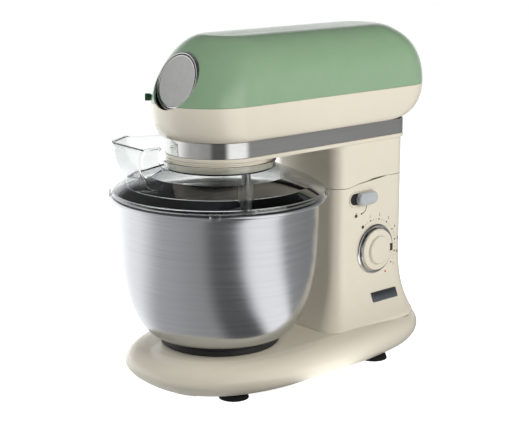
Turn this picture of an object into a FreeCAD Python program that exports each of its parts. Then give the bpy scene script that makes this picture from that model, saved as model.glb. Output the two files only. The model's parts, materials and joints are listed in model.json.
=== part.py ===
import FreeCAD, Part
import math
import os
import re
import Sketcher
from fcgear import fcgear, involute

# Tilt-head stand mixer. Millimetres, +Z up. The head runs along Y with its nose towards -Y, the
# speed knob and the tilt lever are on the +X side, and the feet stand on Z = 0. Every piece is
# drawn about the bowl's own axis, and the placement then carries it to bowl_axis_y, so that the
# origin lies under the middle of the whole machine.

Vec = FreeCAD.Vector
UP = Vec(0, 0, 1)
RIGHT = Vec(1, 0, 0)
BACK = Vec(0, 1, 0)
ZERO = Vec(0, 0, 0)

DIMENSIONS = [
    ("bowl_axis_y", -84), ("wall", 2.6),
    ("base_edge_z", 7), ("deck_z", 41.5), ("base_half_width", 105), ("base_front", 108),
    ("base_rear", 283), ("base_middle_y", 45),
    ("column_half_width", 56), ("column_front", 132), ("column_rear", 248),
    ("column_corner", 20), ("seam_front_z", 202), ("seam_rear_z", 209.5),
    ("hinge_y", 236), ("hinge_z", 205), ("hinge_pin_radius", 4),
    ("collar_radius", 58.7), ("collar_bottom_z", 241.6), ("lip_z", 254), ("band_low_z", 258.5),
    ("band_high_z", 276.3), ("band_half_width", 58.4),
    ("split_z", 315), ("head_top_z", 386), ("head_half_width", 66), ("head_front", 75),
    ("head_rear", 288), ("top_front", 14), ("top_rear", 231),
    ("bowl_rim_radius", 120), ("bowl_rim_z", 212), ("bowl_wall_radius", 111.6),
    ("bowl_foot_radius", 68), ("bowl_foot_z", 44.5), ("bowl_sheet", 1.2),
    ("seat_radius", 63),
    ("ring_teeth", 54), ("planet_teeth", 14), ("planet_module", 1.5),
    ("main_teeth", 60), ("input_teeth", 12), ("input_module", 1),
    ("orbit", 30), ("input_y", 36.15), ("motor_y", 190),
    ("large_pulley_radius", 34), ("small_pulley_radius", 9.2), ("pulley_low_z", 340),
    ("pulley_high_z", 352), ("belt_thick", 2.2),
    ("knob_y", 193.5), ("knob_z", 123.5), ("knob_ring_radius", 30), ("knob_radius", 25.5),
    ("lever_y", 171), ("lever_z", 188.4), ("badge_y", 203), ("badge_z", 66.4),
    ("hub_y", -57.6), ("hub_z", 340), ("hub_tilt", 19.5), ("hub_radius", 30),
    ("guard_neck_radius", 60.6), ("guard_sheet", 1.8),
]

doc = FreeCAD.newDocument("stand_mixer")
sheet = doc.addObject("Spreadsheet::Sheet", "Params")
for row, (alias, number) in enumerate(DIMENSIONS, start=1):
    sheet.set(f"A{row}", alias.replace("_", " "))
    sheet.set(f"B{row}", str(number))
    sheet.setAlias(f"B{row}", alias)
doc.recompute()

D = {alias: float(getattr(sheet, alias)) for alias, number in DIMENSIONS}
NAMES = re.compile(r"\b(" + "|".join(sorted(D, key=len, reverse=True)) + r")\b")
nodes = []


# ---------------------------------------------------------------- helpers

def bound(text):
    """Turn a size written with the sheet's aliases into an expression on the sheet."""
    return NAMES.sub(r"Params.\1", str(text))


def size(text):
    """The number that such an expression gives."""
    return float(sheet.evalExpression(bound(text)))


def place(item, x="0", y="0", z="0", turn=None):
    """Set an object's placement: bound to the sheet, about the bowl's axis."""
    if turn is not None:
        item.Placement = FreeCAD.Placement(ZERO, turn)
    item.setExpression("Placement.Base.x", bound(x))
    item.setExpression("Placement.Base.y", bound(f"{y} + bowl_axis_y"))
    item.setExpression("Placement.Base.z", bound(z))
    return item


def keep(item, label):
    """List an object as one of the machine's pieces, under its own name."""
    item.Label = label
    nodes.append(item)
    return item


def origin_plane(body, role):
    return next(part for part in body.Origin.OriginFeatures if part.Role == role)


def new_body(label):
    return doc.addObject("PartDesign::Body", label)


def new_sketch(body, role, name):
    sketch = body.newObject("Sketcher::SketchObject", name)
    sketch.AttachmentSupport = [(origin_plane(body, role), "")]
    sketch.MapMode = "FlatFace"
    return sketch


def pin_point(sketch, edge, end, x, y):
    """Hold one end of an edge, or a circle's centre, at bound coordinates."""
    for kind, text in (("DistanceX", x), ("DistanceY", y)):
        number = sketch.addConstraint(Sketcher.Constraint(kind, -1, 1, edge, end, size(text)))
        sketch.setExpression(f"Constraints[{number}]", bound(text))


def draw_outline(sketch, points):
    """A closed outline of straight lines whose corners are bound to the sheet."""
    first = sketch.GeometryCount
    spots = [Vec(size(x), size(y), 0) for x, y in points]
    count = len(spots)
    for index in range(count):
        line = Part.LineSegment(spots[index], spots[(index + 1) % count])
        sketch.addGeometry(line, False)
    for index in range(count):
        after = first + (index + 1) % count
        sketch.addConstraint(Sketcher.Constraint("Coincident", first + index, 2, after, 1))
    for index, (x, y) in enumerate(points):
        pin_point(sketch, first + index, 1, x, y)


def draw_circle(sketch, x, y, radius):
    circle = Part.Circle(Vec(size(x), size(y), 0), UP, size(radius))
    edge = sketch.addGeometry(circle, False)
    pin_point(sketch, edge, 3, x, y)
    number = sketch.addConstraint(Sketcher.Constraint("Radius", edge, size(radius)))
    sketch.setExpression(f"Constraints[{number}]", bound(radius))


def turned(label, profile, x="0", y="0", z="0", turn=None):
    """A body turned about its own Z axis from a profile of (radius, height) corners."""
    body = new_body(label)
    sketch = new_sketch(body, "XZ_Plane", label + "_profile")
    draw_outline(sketch, profile)
    lathe = body.newObject("PartDesign::Revolution", label + "_turned")
    lathe.Profile = sketch
    lathe.ReferenceAxis = (sketch, ["V_Axis"])
    lathe.Angle = 360
    place(body, x, y, z, turn)
    return keep(body, label)


def pad(body, name, height, outline=None, circles=(), role="XY_Plane"):
    """Add material: a sketch of one outline and any circles, padded to a height."""
    sketch = new_sketch(body, role, name + "_sketch")
    if outline:
        draw_outline(sketch, outline)
    for circle in circles:
        draw_circle(sketch, *circle)
    feature = body.newObject("PartDesign::Pad", name)
    feature.Profile = sketch
    feature.Length = size(height)
    feature.setExpression("Length", bound(height))
    return feature


def box_outline(x0, y0, x1, y1):
    return [(x0, y0), (x1, y0), (x1, y1), (x0, y1)]


def made(label, shape, x="0", y="0", z="0", turn=None):
    """A piece whose shape is worked out here; its placement is set after its shape."""
    item = doc.addObject("Part::Feature", label)
    item.Shape = shape
    place(item, x, y, z, turn)
    return keep(item, label)


def cylinder(radius, low, high, x=0.0, y=0.0):
    return Part.makeCylinder(radius, high - low, Vec(x, y, low), UP)


def block(x0, x1, y0, y1, z0, z1):
    return Part.makeBox(x1 - x0, y1 - y0, z1 - z0, Vec(x0, y0, z0))


def join(shapes):
    return shapes[0].multiFuse(shapes[1:]).removeSplitter() if len(shapes) > 1 else shapes[0]


def on_both_sides(shape):
    """The shape and its mirror image across the machine's middle plane."""
    return [shape, shape.mirror(ZERO, RIGHT)]


def rounded_outline(half_width, front, rear, front_radius, rear_radius, z):
    """A closed plan outline: straight sides, a straight front and rear, four round corners."""
    fr = min(front_radius, half_width - 0.05)
    rr = min(rear_radius, half_width - 0.05)
    corners = [
        (half_width - fr, front + fr, fr, -90),
        (half_width - rr, rear - rr, rr, 0),
        (-half_width + rr, rear - rr, rr, 90),
        (-half_width + fr, front + fr, fr, 180),
    ]
    edges = []
    last = None
    first = None
    for x, y, radius, start in corners:
        arc = Part.Arc(Part.Circle(Vec(x, y, z), UP, radius),
                       math.radians(start), math.radians(start + 90))
        if last is not None:
            edges.append(Part.makeLine(last, arc.StartPoint))
        else:
            first = arc.StartPoint
        edges.append(arc.toShape())
        last = arc.EndPoint
    edges.append(Part.makeLine(last, first))
    return Part.Wire(edges)


def loft(outlines, straight=False):
    return Part.makeLoft(outlines, True, straight)


def prism(outline, height):
    return Part.Face(outline).extrude(Vec(0, 0, height))


def hub_turn():
    """The turn that points a body's Z axis out of the hub's tilted face."""
    return FreeCAD.Rotation(RIGHT, 90 - D["hub_tilt"])


SIDEWAYS = FreeCAD.Rotation(BACK, 90)      # a body's Z axis points to +X
PLANET_TURN = 7 * 360 / D["ring_teeth"]    # whole ring teeth, so the planet stays in mesh


# ---------------------------------------------------------------- base

def base_outline(half_width, front, rear, z, steps=10):
    """The base's plan: a blunt rounded nose and a squarer rear, both superellipses."""
    middle = D["base_middle_y"]
    points = []
    for quarter, (power, reach, sign) in enumerate(((2.4, front + middle, -1),
                                                    (3.0, rear - middle, 1))):
        for step in range(2 * steps):
            angle = math.pi * (step / (2 * steps)) + (math.pi if quarter == 0 else 0)
            c, s = math.cos(angle), math.sin(angle)
            x = half_width * math.copysign(abs(c) ** (2 / power), c)
            y = middle + sign * reach * abs(s) ** (2 / power)
            points.append(Vec(x, y, z))
    curve = Part.BSplineCurve()
    curve.interpolate(points, PeriodicFlag=True)
    return Part.Wire([curve.toShape()])


def base_block(inset, low, top):
    """The pillow-shaped foot of the machine, drawn in by inset."""
    a, f, r = D["base_half_width"], D["base_front"], D["base_rear"]
    levels = ((0.0, 6, 13), (0.16, 2, 6), (0.4, 0, 0), (0.62, 1.5, 1.5),
              (0.8, 6, 6), (0.93, 13, 13), (1.0, 22, 22))
    outlines = []
    for part, side, nose in levels:
        outlines.append(base_outline(a - side - inset, f - nose - inset, r - side - inset,
                                     low + (top - low) * part))
    return loft(outlines)


def column_block(inset, low, top):
    """The column, with its foot flaring into the deck."""
    hw, cf, cr = D["column_half_width"], D["column_front"], D["column_rear"]
    span = D["seam_front_z"] + 10 - D["deck_z"]
    outlines = []
    for part in (0.0, 0.03, 0.08, 0.16, 0.28, 0.45, 0.7, 1.0):
        flare = (1 - min(part / 0.5, 1.0)) ** 3
        outlines.append(rounded_outline(hw + 24 * flare - inset,
                                        cf - 34 * flare + inset,
                                        cr + 12 * flare - inset,
                                        22 - 4 * (1 - flare) - min(inset, 3),
                                        D["column_corner"] + 18 * flare - inset,
                                        low + (span if top is None else top - low) * part))
    return loft(outlines)


def seam_cutter(shift, behind_drop):
    """Everything above the seam between column and neck, raised by shift.

    Behind the hinge the seam falls away by behind_drop, which leaves the neck room to swing.
    """
    zf, zr, hy = D["seam_front_z"] + shift, D["seam_rear_z"] + shift, D["hinge_y"]
    front, rear = D["column_front"] - 30, D["column_rear"] + 30
    curve = Part.BSplineCurve()
    curve.interpolate([Vec(0, D["column_front"] + 4, zf), Vec(0, 150, zf + 0.6),
                       Vec(0, 172, zr - 3), Vec(0, 195, zr - 0.4), Vec(0, hy, zr)])
    start, end = curve.StartPoint, curve.EndPoint
    corners = [end, Vec(0, D["column_rear"], zr - behind_drop), Vec(0, rear, zr - behind_drop),
               Vec(0, rear, 330), Vec(0, front, 330), Vec(0, front, zf + 1), start]
    edges = [curve.toShape()]
    for index in range(len(corners) - 1):
        edges.append(Part.makeLine(corners[index], corners[index + 1]))
    face = Part.Face(Part.Wire(edges))
    solid = face.extrude(Vec(200, 0, 0))
    solid.translate(Vec(-100, 0, 0))
    return solid


def build_base_shell():
    wall, edge, deck = D["wall"], D["base_edge_z"], D["deck_z"]
    outer = base_block(0, edge, deck).fuse(column_block(0, deck - 1, None))
    inner = base_block(wall, edge - 0.01, deck - wall).fuse(
        column_block(wall, deck - wall - 1, D["seam_rear_z"] + 8))
    shell = outer.cut(inner)
    shell = shell.cut(seam_cutter(0, 8.0))
    seat_hole = cylinder(D["seat_radius"] + 0.3, deck - 8, deck + 5)
    side = D["column_half_width"]
    knob_hole = Part.makeCylinder(9, 12, Vec(side - 9, D["knob_y"], D["knob_z"]), RIGHT)
    knob_flat = Part.makeCylinder(D["knob_ring_radius"] + 0.3, 12,
                                  Vec(side, D["knob_y"], D["knob_z"]), RIGHT)
    lever_hole = pill(44, 20, side - 9, side + 5, D["lever_y"], D["lever_z"])
    cable_hole = Part.makeCylinder(8.2, 60, Vec(0, D["column_rear"] + 12, CABLE_Z), BACK)
    for tool in (seat_hole, knob_hole, knob_flat, lever_hole, cable_hole, badge_block(-3)):
        shell = shell.cut(tool)
    return made("base_shell", largest(shell))


def column_flare(z):
    """How far the column's side stands out past its upper part, at a height."""
    span = D["seam_front_z"] + 10 - D["deck_z"]
    return 24 * (1 - min((z - D["deck_z"]) / span / 0.5, 1.0)) ** 3


def badge_out(distance):
    """A step along the badge's outward normal."""
    lean = math.radians(BADGE_LEAN)
    return Vec(math.cos(lean), 0, math.sin(lean)) * distance


def badge_block(back, inset=0.0):
    """The badge's plate, 43 by 12 mm, leaning back with the flare of the column's side."""
    length, height, thick = 43 - 2 * inset, 12 - 2 * inset, 1.8
    plate = block(back, thick, -length / 2, length / 2, -height / 2, height / 2)
    plate.rotate(ZERO, BACK, -BADGE_LEAN)
    middle = D["column_half_width"] + column_flare(D["badge_z"])
    plate.translate(Vec(middle, D["badge_y"], D["badge_z"]) - badge_out(0.9))
    return plate


def largest(shape):
    return max(shape.Solids, key=lambda solid: solid.Volume)


def pill(length, height, x0, x1, y, z):
    """A pill-shaped prism along X, its long way along Y."""
    radius = height / 2
    straight = length - height
    body = block(x0, x1, y - straight / 2, y + straight / 2, z - radius, z + radius)
    ends = [Part.makeCylinder(radius, x1 - x0, Vec(x0, y + sign * straight / 2, z), RIGHT)
            for sign in (-1, 1)]
    return join([body] + ends)


CABLE_Z = 22
BADGE_LEAN = 23
FOOT_SPOTS = [(69, -39), (81, 168), (-81, 168), (-69, -39)]
SCREW_SPOTS = [(24, -60), (78, 100), (62, 228), (-62, 228), (-78, 100), (-24, -60)]


BOARD_Z = 16
BOARD_POSTS = [(-28, 136), (28, 136), (-28, 186), (28, 186)]


def build_base_plate():
    edge, wall = D["base_edge_z"], D["wall"]
    inset = wall + 4.6
    outline = base_outline(D["base_half_width"] - inset - 4, D["base_front"] - inset - 10,
                           D["base_rear"] - inset - 4, edge + 0.5)
    plate = prism(outline, 3)
    skirt = plate.copy()
    skirt.translate(Vec(0, 0, -2.9))
    for x, y in FOOT_SPOTS:
        plate = plate.cut(cylinder(5.2, edge - 5, edge + 10, x, y))
    for x, y in SCREW_SPOTS:
        plate = plate.cut(cylinder(2.2, edge - 5, edge + 10, x, y))
    tabs = []
    for x0, x1, y0, y1 in ((84, 100, 32, 76), (76, 100, 194, 212), (30, 50, -100, -70)):
        for tab in on_both_sides(block(x0, x1, y0, y1, edge - 4, edge + 1)):
            tabs.append(tab.common(skirt))
    for x, y in BOARD_POSTS:
        tabs.append(cylinder(2.6, edge + 2, BOARD_Z, x, y))
    for y in (75, 100, 125, 150):
        plate = plate.cut(block(-30, 30, y, y + 6, edge - 5, edge + 10))
    return made("base_plate", join([plate] + tabs))


def build_feet():
    profile = [Vec(0, 0, 5), Vec(8, 0, 4.2), Vec(13, 0, 0), Vec(16.5, 0, 0), Vec(15, 0, 4.5),
               Vec(9, 0, 6.9), Vec(4.9, 0, 6.9), Vec(4.9, 0, 11), Vec(7, 0, 11.2),
               Vec(6, 0, 13), Vec(0, 0, 13)]
    foot = Part.Face(Part.makePolygon(profile + [profile[0]])).revolve(ZERO, UP, 360)
    feet = []
    for x, y in FOOT_SPOTS:
        copy = foot.copy()
        copy.translate(Vec(x, y, 0))
        feet.append(copy)
    return made("suction_feet", Part.makeCompound(feet))


def screw(head_radius, head_height, radius, length):
    """A screw with its head's top face at Z = 0, pointing down, with a cross slot."""
    body = join([cylinder(head_radius, -head_height, 0), cylinder(radius, -length, -head_height)])
    for turn in (0, 90):
        slot = block(-head_radius * 0.6, head_radius * 0.6, -0.5, 0.5, -head_height * 0.6, 1)
        slot.rotate(ZERO, UP, turn)
        body = body.cut(slot)
    return body


def build_screws(label, spots, head_radius, head_height, radius, length, upside_down=False):
    pieces = []
    for x, y, z in spots:
        piece = screw(head_radius, head_height, radius, length)
        if upside_down:
            piece.rotate(ZERO, RIGHT, 180)
        piece.translate(Vec(x, y, z))
        pieces.append(piece)
    return made(label, Part.makeCompound(pieces))


def around(shape, count):
    """Copies of a shape evenly round the bowl's axis."""
    copies = []
    for index in range(count):
        copy = shape.copy()
        copy.rotate(ZERO, UP, 360 * index / count)
        copies.append(copy)
    return copies


def build_bowl_seat():
    """The ring that the bowl's foot drops into, with three lugs that hold it down."""
    low, top = D["deck_z"] - 5.5, D["deck_z"] + 0.6
    ring = cylinder(D["seat_radius"], low, top).cut(cylinder(D["seat_radius"] - 3, low + 2, top + 5))
    flange = cylinder(D["seat_radius"] + 3, D["deck_z"] + 0.05, top)
    flange = flange.cut(cylinder(D["seat_radius"] - 3, low, top + 5))
    ring = ring.fuse(flange).cut(cylinder(18, low - 5, low + 10))
    lug = block(D["seat_radius"] - 6.4, D["seat_radius"] - 1, -7, 7, top - 1.1, top)
    return made("bowl_seat", join([ring] + around(lug, 3)))


def build_column_frame():
    """A folded steel upright on each side, tied by a foot plate, carrying the hinge pin.

    The right upright also reaches forwards to carry the latch shaft.
    """
    y0, y1, top = 196, D["hinge_y"] + 7.5, D["hinge_z"]
    parts = [block(-41, 41, y0, y1, 11, 14.5), block(-41, 41, y1 - 3, y1, 11, 150)]
    for x0 in (-41, 38):
        parts.append(block(x0, x0 + 3, y0, y1, 14, top))
        parts.append(Part.makeCylinder(7.5, 3, Vec(x0, D["hinge_y"], top), RIGHT))
    parts.append(block(38, 41, LATCH_Y - 9, y0 + 1, D["lever_z"] - 12, D["lever_z"] + 9))
    frame = join(parts)
    pin = Part.makeCylinder(D["hinge_pin_radius"], 100, Vec(-50, D["hinge_y"], top), RIGHT)
    latch = Part.makeCylinder(4.26, 20, Vec(30, LATCH_Y, D["lever_z"]), RIGHT)
    dial = Part.makeCylinder(14, 20, Vec(30, D["knob_y"], D["knob_z"]), RIGHT)
    return made("column_frame", frame.cut(pin).cut(latch).cut(dial))


LATCH_Y = D["lever_y"] + 12


def build_hinge():
    pin = Part.makeCylinder(D["hinge_pin_radius"], 88, Vec(-44, D["hinge_y"], D["hinge_z"]), RIGHT)
    groove = Part.makeTorus(D["hinge_pin_radius"], 0.5, Vec(-42.6, D["hinge_y"], D["hinge_z"]),
                            RIGHT)
    made("hinge_pin", pin.cut(groove))
    bushes = []
    for x in (-35.2, 29.2):
        outer = Part.makeCylinder(5.4, 6, Vec(x, D["hinge_y"], D["hinge_z"]), RIGHT)
        bore = Part.makeCylinder(D["hinge_pin_radius"] + 0.06, 8,
                                 Vec(x - 1, D["hinge_y"], D["hinge_z"]), RIGHT)
        bushes.append(outer.cut(bore))
    made("hinge_bushes", Part.makeCompound(bushes))


def build_controls():
    """Everything fixed behind and around the knob and the lever."""
    side = "column_half_width"
    turned("knob_trim_ring", [("knob_ring_radius - 3", "0.05"), ("knob_ring_radius", "0.05"),
                              ("knob_ring_radius - 0.6", "2.2"), ("knob_ring_radius - 2", "3"),
                              ("knob_ring_radius - 3", "2.4")],
           side, "knob_y", "knob_z", SIDEWAYS)
    turned("speed_potentiometer", [("3.3", "-26"), ("13", "-26"), ("13", "-11"),
                                          ("5", "-11"), ("5", "-4.5"), ("3.3", "-4.5")],
                  side, "knob_y", "knob_z", SIDEWAYS)
    board = new_body("control_board")
    pad(board, "laminate", "1.6", box_outline("-32", "0", "32", "58"))
    pad(board, "laminate_parts", "12", box_outline("-26", "6", "-10", "30"))
    pad(board, "heat_sink", "20", box_outline("-4", "8", "4", "44"))
    pad(board, "capacitor", "16", circles=[("18", "20", "7")])
    pad(board, "terminal_block", "9", box_outline("12", "38", "28", "50"))
    place(board, "0", "132", str(BOARD_Z))
    keep(board, "control_board")

    x = D["column_half_width"]
    cup = pill(43.4, 19.4, x - 8, x + 0.6, D["lever_y"], D["lever_z"])
    cup = cup.cut(pill(40.6, 16.6, x - 6.4, x + 5, D["lever_y"], D["lever_z"]))
    hole = Part.makeCylinder(4.8, 30, Vec(x - 20, LATCH_Y, D["lever_z"]), RIGHT)
    made("lever_escutcheon", cup.cut(hole))
    made("badge_plate", badge_block(0).cut(badge_block(0, 1.0).translated(badge_out(1.2))))

    turned("cord_gland", [("4", "-8"), ("9.8", "-8"), ("9.8", "-5.6"), ("7.9", "-5.6"),
                          ("7.9", "1.5"), ("10", "1.5"), ("9", "5"), ("4", "5")],
           "0", "base_rear - 1.2", str(CABLE_Z), FreeCAD.Rotation(RIGHT, -90))
    switch = new_body("safety_switch")
    pad(switch, "case", "16", box_outline("-5", "-10", "5", "10"))
    pad(switch, "plunger", "18.4", circles=[("0", "4", "1.6")])
    place(switch, "-22", "column_front + 20", "seam_front_z - 20")
    keep(switch, "safety_switch")


# ---------------------------------------------------------------- head

def head_levels():
    """Plan sizes of the head at several heights: the cream part below the split, then the top.

    Below the split the sides swell out from the trim band along a quarter ellipse. Above it they
    close over the top along superellipses, the nose on a slacker one than the sides.
    """
    low, split, top = D["band_high_z"], D["split_z"], D["head_top_z"]
    below = []
    for part in (0.0, 0.08, 0.22, 0.42, 0.7, 1.0):
        swell = math.sqrt(1 - (1 - part) ** 2)
        hw = D["band_half_width"] + 0.4 + (D["head_half_width"] - D["band_half_width"] - 0.4) * swell
        front = D["collar_radius"] + 1 + (D["head_front"] - D["collar_radius"] - 1) * swell
        rear = D["column_rear"] + 2 + (D["head_rear"] - D["column_rear"] - 2) * swell
        below.append((low + (split - low) * part, hw, -front, rear))
    above = []
    for part in (0.0, 0.15, 0.32, 0.5, 0.66, 0.79, 0.89, 0.955, 0.99, 1.0):
        side = (1 - part ** 2.5) ** (1 / 2.5)
        nose = (1 - part ** 1.5) ** (1 / 1.5)
        back = (1 - part ** 2.2) ** (1 / 2.2)
        hw = 20 + (D["head_half_width"] - 20) * side
        front = D["top_front"] + (D["head_front"] - D["top_front"]) * nose
        rear = D["top_rear"] + (D["head_rear"] - D["top_rear"]) * back
        above.append((split + (top - split) * part, hw, -front, rear))
    return below, above


def head_loft(levels, inset, drop=0.0):
    outlines = []
    for z, hw, front, rear in levels:
        width = hw - inset
        outlines.append(rounded_outline(width, front + inset, rear - inset, width - 1.5,
                                        min(width - 1.5, 44), z - drop))
    return loft(outlines)


def hub_cylinder(radius, start, end):
    """A cylinder along the hub's axis; 0 is the hub's face and positive is outwards."""
    tilt = math.radians(D["hub_tilt"])
    out = Vec(0, -math.cos(tilt), math.sin(tilt))
    centre = Vec(0, D["hub_y"], D["hub_z"])
    return Part.makeCylinder(radius, end - start, centre + out * start, out)


def build_head_covers():
    wall, split = D["wall"], D["split_z"]
    below, above = head_levels()
    seat = D["hub_radius"] + 3.4
    boss = hub_cylinder(seat, -22, -2.6).cut(hub_cylinder(seat - 5.6, -25, 5))
    front_cut = hub_cylinder(seat, -2.6, 40)
    hub_hole = hub_cylinder(seat - 5.6, -30, 5)
    button_hole = button_cylinder(4.4, -16, 12)

    top_outer = head_loft(above, 0)
    top_inner = head_loft(above, wall, wall)
    skin = top_outer.cut(top_inner).cut(block(-90, 90, -100, 320, split - 20, split + 0.2))
    top_boss = boss.common(block(-90, 90, -100, 320, split + 0.2, 400)).common(
        top_outer.fuse(hub_cylinder(seat, -22, -2.6)))
    top = skin.cut(front_cut).cut(hub_hole).fuse(top_boss).cut(button_hole)
    made("head_top_cover", largest(top.removeSplitter()))

    low_outer = head_loft(below, 0)
    low_inner = head_loft(below, wall)
    sides = low_outer.cut(low_inner)
    low_boss = boss.common(block(-90, 90, -100, 320, 250, split - 0.2)).common(low_outer)
    sides = sides.cut(front_cut).cut(hub_hole).fuse(low_boss).cut(button_hole)
    sides = sides.cut(block(-90, 90, -100, 320, split - 0.2, split + 20))
    floor_plate = prism(rounded_outline(below[0][1] - 1, below[0][2] + 1, below[0][3] - 1, 57,
                                        40, below[0][0]), 1.6)
    opening = prism(rounded_outline(52.6, -52.6, 240, 52.5, 20, below[0][0] - 1), 4)
    sides = sides.fuse(floor_plate.cut(opening))
    made("head_side_cover", largest(sides.removeSplitter()))


BUTTON_ANGLE = math.radians(228)


def button_cylinder(radius, start, end):
    """A cylinder along the release button's axis; 0 is the nose's surface."""
    out = Vec(math.cos(BUTTON_ANGLE), math.sin(BUTTON_ANGLE), 0)
    return Part.makeCylinder(radius, end - start, button_root() + out * start, out)


def button_root():
    """Where the release button's axis leaves the nose, just above the split."""
    out = Vec(math.cos(BUTTON_ANGLE), math.sin(BUTTON_ANGLE), 0)
    middle = D["head_half_width"] - D["head_front"]
    return Vec(0, middle, D["split_z"] + 3.5) + out * D["head_half_width"]


def build_button():
    parts = [button_cylinder(3.0, -15, 1.2), button_cylinder(4.0, 1.0, 6.6),
             button_cylinder(6.2, -7.4, -6)]
    made("hub_release_button", join(parts))


def build_trim_band():
    low, high = D["band_low_z"] + 0.2, D["band_high_z"] - 0.2
    hw = D["band_half_width"]
    outline = rounded_outline(hw, -D["collar_radius"], D["column_rear"] + 0.6, hw - 0.1, 20, low)
    inner = rounded_outline(hw - 1.6, -D["collar_radius"] + 1.6, D["column_rear"] - 1, hw - 1.7,
                            18.4, low - 1)
    return made("trim_band", prism(outline, high - low).cut(prism(inner, high - low + 2)))


def neck_block(inset, low, high):
    outline = rounded_outline(D["column_half_width"] - inset, D["column_front"] + inset,
                              D["column_rear"] - inset, 18 - min(inset, 3),
                              D["column_corner"] - inset, low)
    return prism(outline, high - low)


def build_under_cover():
    """The cream lip under the trim band, and the neck that stands on the column."""
    wall, lip, band = D["wall"], D["lip_z"], D["band_low_z"]
    hw = D["band_half_width"]
    plate = prism(rounded_outline(hw + 0.4, -D["collar_radius"] - 0.4, D["column_rear"] + 1,
                                  hw, 20, lip), band - lip)
    neck = neck_block(0, 190, lip + 1).cut(neck_block(wall, 180, lip + 2))
    neck = neck.common(seam_cutter(0.8, 0))
    web = block(-50, 50, D["column_front"] - 10, D["column_front"] + 0.5, lip - 10, lip + 0.5)
    web = web.cut(Part.makeCylinder(10, 110, Vec(-55, D["column_front"] - 10, lip - 10), RIGHT))
    body = plate.fuse([neck, web])
    body = body.cut(cylinder(D["collar_radius"] - 6, 200, 300))
    rear_window = prism(rounded_outline(47, D["column_front"] + 10, D["column_rear"] - 8, 12, 12,
                                        lip - 1), 8)
    body = body.cut(rear_window)
    clearance = Part.makeCylinder(8.2, 100, Vec(-50, D["hinge_y"], D["hinge_z"]), RIGHT)
    return made("head_under_cover", largest(body.cut(clearance).removeSplitter()))


def build_chassis():
    """The die-cast plate that everything in the head is bolted to, with its hinge ears."""
    low = D["band_low_z"] + 0.6
    plate = prism(rounded_outline(49, 30, 239, 6, 18, low), CHASSIS_THICK)
    plate = plate.cut(cylinder(52.5, low - 1, low + 6))
    plate = plate.cut(cylinder(9.05, low - 1, low + 6, 0, D["motor_y"]))
    ears = []
    for x0 in (-35.2, 29.2):
        outline = [Vec(x0, D["hinge_y"] - 50, low + 1), Vec(x0, D["hinge_y"] + 3, low + 1),
                   Vec(x0, D["hinge_y"] + 7.4, D["hinge_z"]),
                   Vec(x0, D["hinge_y"] - 7.4, D["hinge_z"])]
        face = Part.Face(Part.makePolygon(outline + [outline[0]]))
        ears.append(face.extrude(Vec(6, 0, 0)))
        ears.append(Part.makeCylinder(7.4, 6, Vec(x0, D["hinge_y"], D["hinge_z"]), RIGHT))
    rails = [block(x, x + 4, 64, 232, low + 3, low + 13) for x in (-49, 45)]
    body = join([plate] + ears + rails)
    body = body.cut(Part.makeCylinder(5.4, 120, Vec(-60, D["hinge_y"], D["hinge_z"]), RIGHT))
    for x, y in GEARBOX_FEET + MOTOR_FEET:
        body = body.cut(cylinder(1.8, low - 1, low + 6, x, y))
    made("head_chassis", body)

    bar = block(*HOOK_X, LATCH_Y + 11.5, LATCH_Y + 17.5, D["hinge_z"] + 1, low)
    step = block(*HOOK_X, LATCH_Y + 11.5, LATCH_Y + 22, low - 3, low)
    made("latch_striker", bar.fuse(step))


CHASSIS_THICK = 4
CHASSIS_TOP = D["band_low_z"] + 0.6 + CHASSIS_THICK
GEARBOX_FEET = [(42, 46), (-42, 46)]
MOTOR_FEET = [(36, 176), (-36, 176), (36, 204), (-36, 204)]
HOOK_X = (18, 24)


def build_gearbox():
    """The cup over the planet gear, its bearings, and the collar that hides its lower edge."""
    top = 276.0
    body = cylinder(52, 245, top + 5).cut(cylinder(48.4, 244, top))
    feet = []
    for x, y in GEARBOX_FEET:
        side = math.copysign(1, x)
        x0, x1 = sorted((x + 6 * side, x - 6 * side))
        foot = block(x0, x1, y - 16, y + 6, CHASSIS_TOP, CHASSIS_TOP + 4)
        foot = foot.cut(cylinder(50, 240, 290)).cut(cylinder(1.8, 250, 290, x, y))
        feet.append(foot)
    bosses = [cylinder(11, top + 4, top + 14),
              cylinder(11, top + 4, top + 14, 0, D["input_y"])]
    body = join([body] + bosses + feet)
    body = body.cut(cylinder(9, top - 1, top + 15))
    body = body.cut(cylinder(9, top - 1, top + 15, 0, D["input_y"]))
    made("gearbox_housing", body)

    collar = cylinder(D["collar_radius"], D["collar_bottom_z"], D["lip_z"] - 0.1)
    collar = collar.cut(cylinder(52.2, 230, 270))
    bead = cylinder(D["collar_radius"] + 1, D["collar_bottom_z"] + 9.5,
                    D["collar_bottom_z"] + 10.2)
    bead = bead.cut(cylinder(D["collar_radius"] - 0.6, 230, 270))
    made("nose_collar", collar.cut(bead))

    seats = [(0, top + 0.5, top + 13, 6.06), (D["input_y"], top + 0.5, top + 13, 5.06),
             (D["motor_y"], D["band_low_z"] + 0.6, CHASSIS_TOP, 4.06),
             (D["motor_y"], 321.4, 325.8, 4.06)]
    rings = []
    for y, low, high, bore in seats:
        ring = cylinder(8.95, low, high, 0, y).cut(cylinder(bore, low - 1, high + 1, 0, y))
        groove = cylinder(7.6, high - 0.5, high + 1, 0, y).cut(cylinder(6.8, low, high + 2, 0, y))
        rings.append(ring.cut(groove))
    made("shaft_bearings", Part.makeCompound(rings))


def gear_face(module, teeth, add=1.0, ded=1.25, internal=False):
    wire = fcgear.FCWireBuilder()
    if internal:
        involute.CreateInternalGear(wire, module, int(teeth), 20, True, add, ded)
    else:
        involute.CreateExternalGear(wire, module, int(teeth), 20, True, add, ded)
    return Part.Wire([edge.toShape() for edge in wire.wire])


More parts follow.
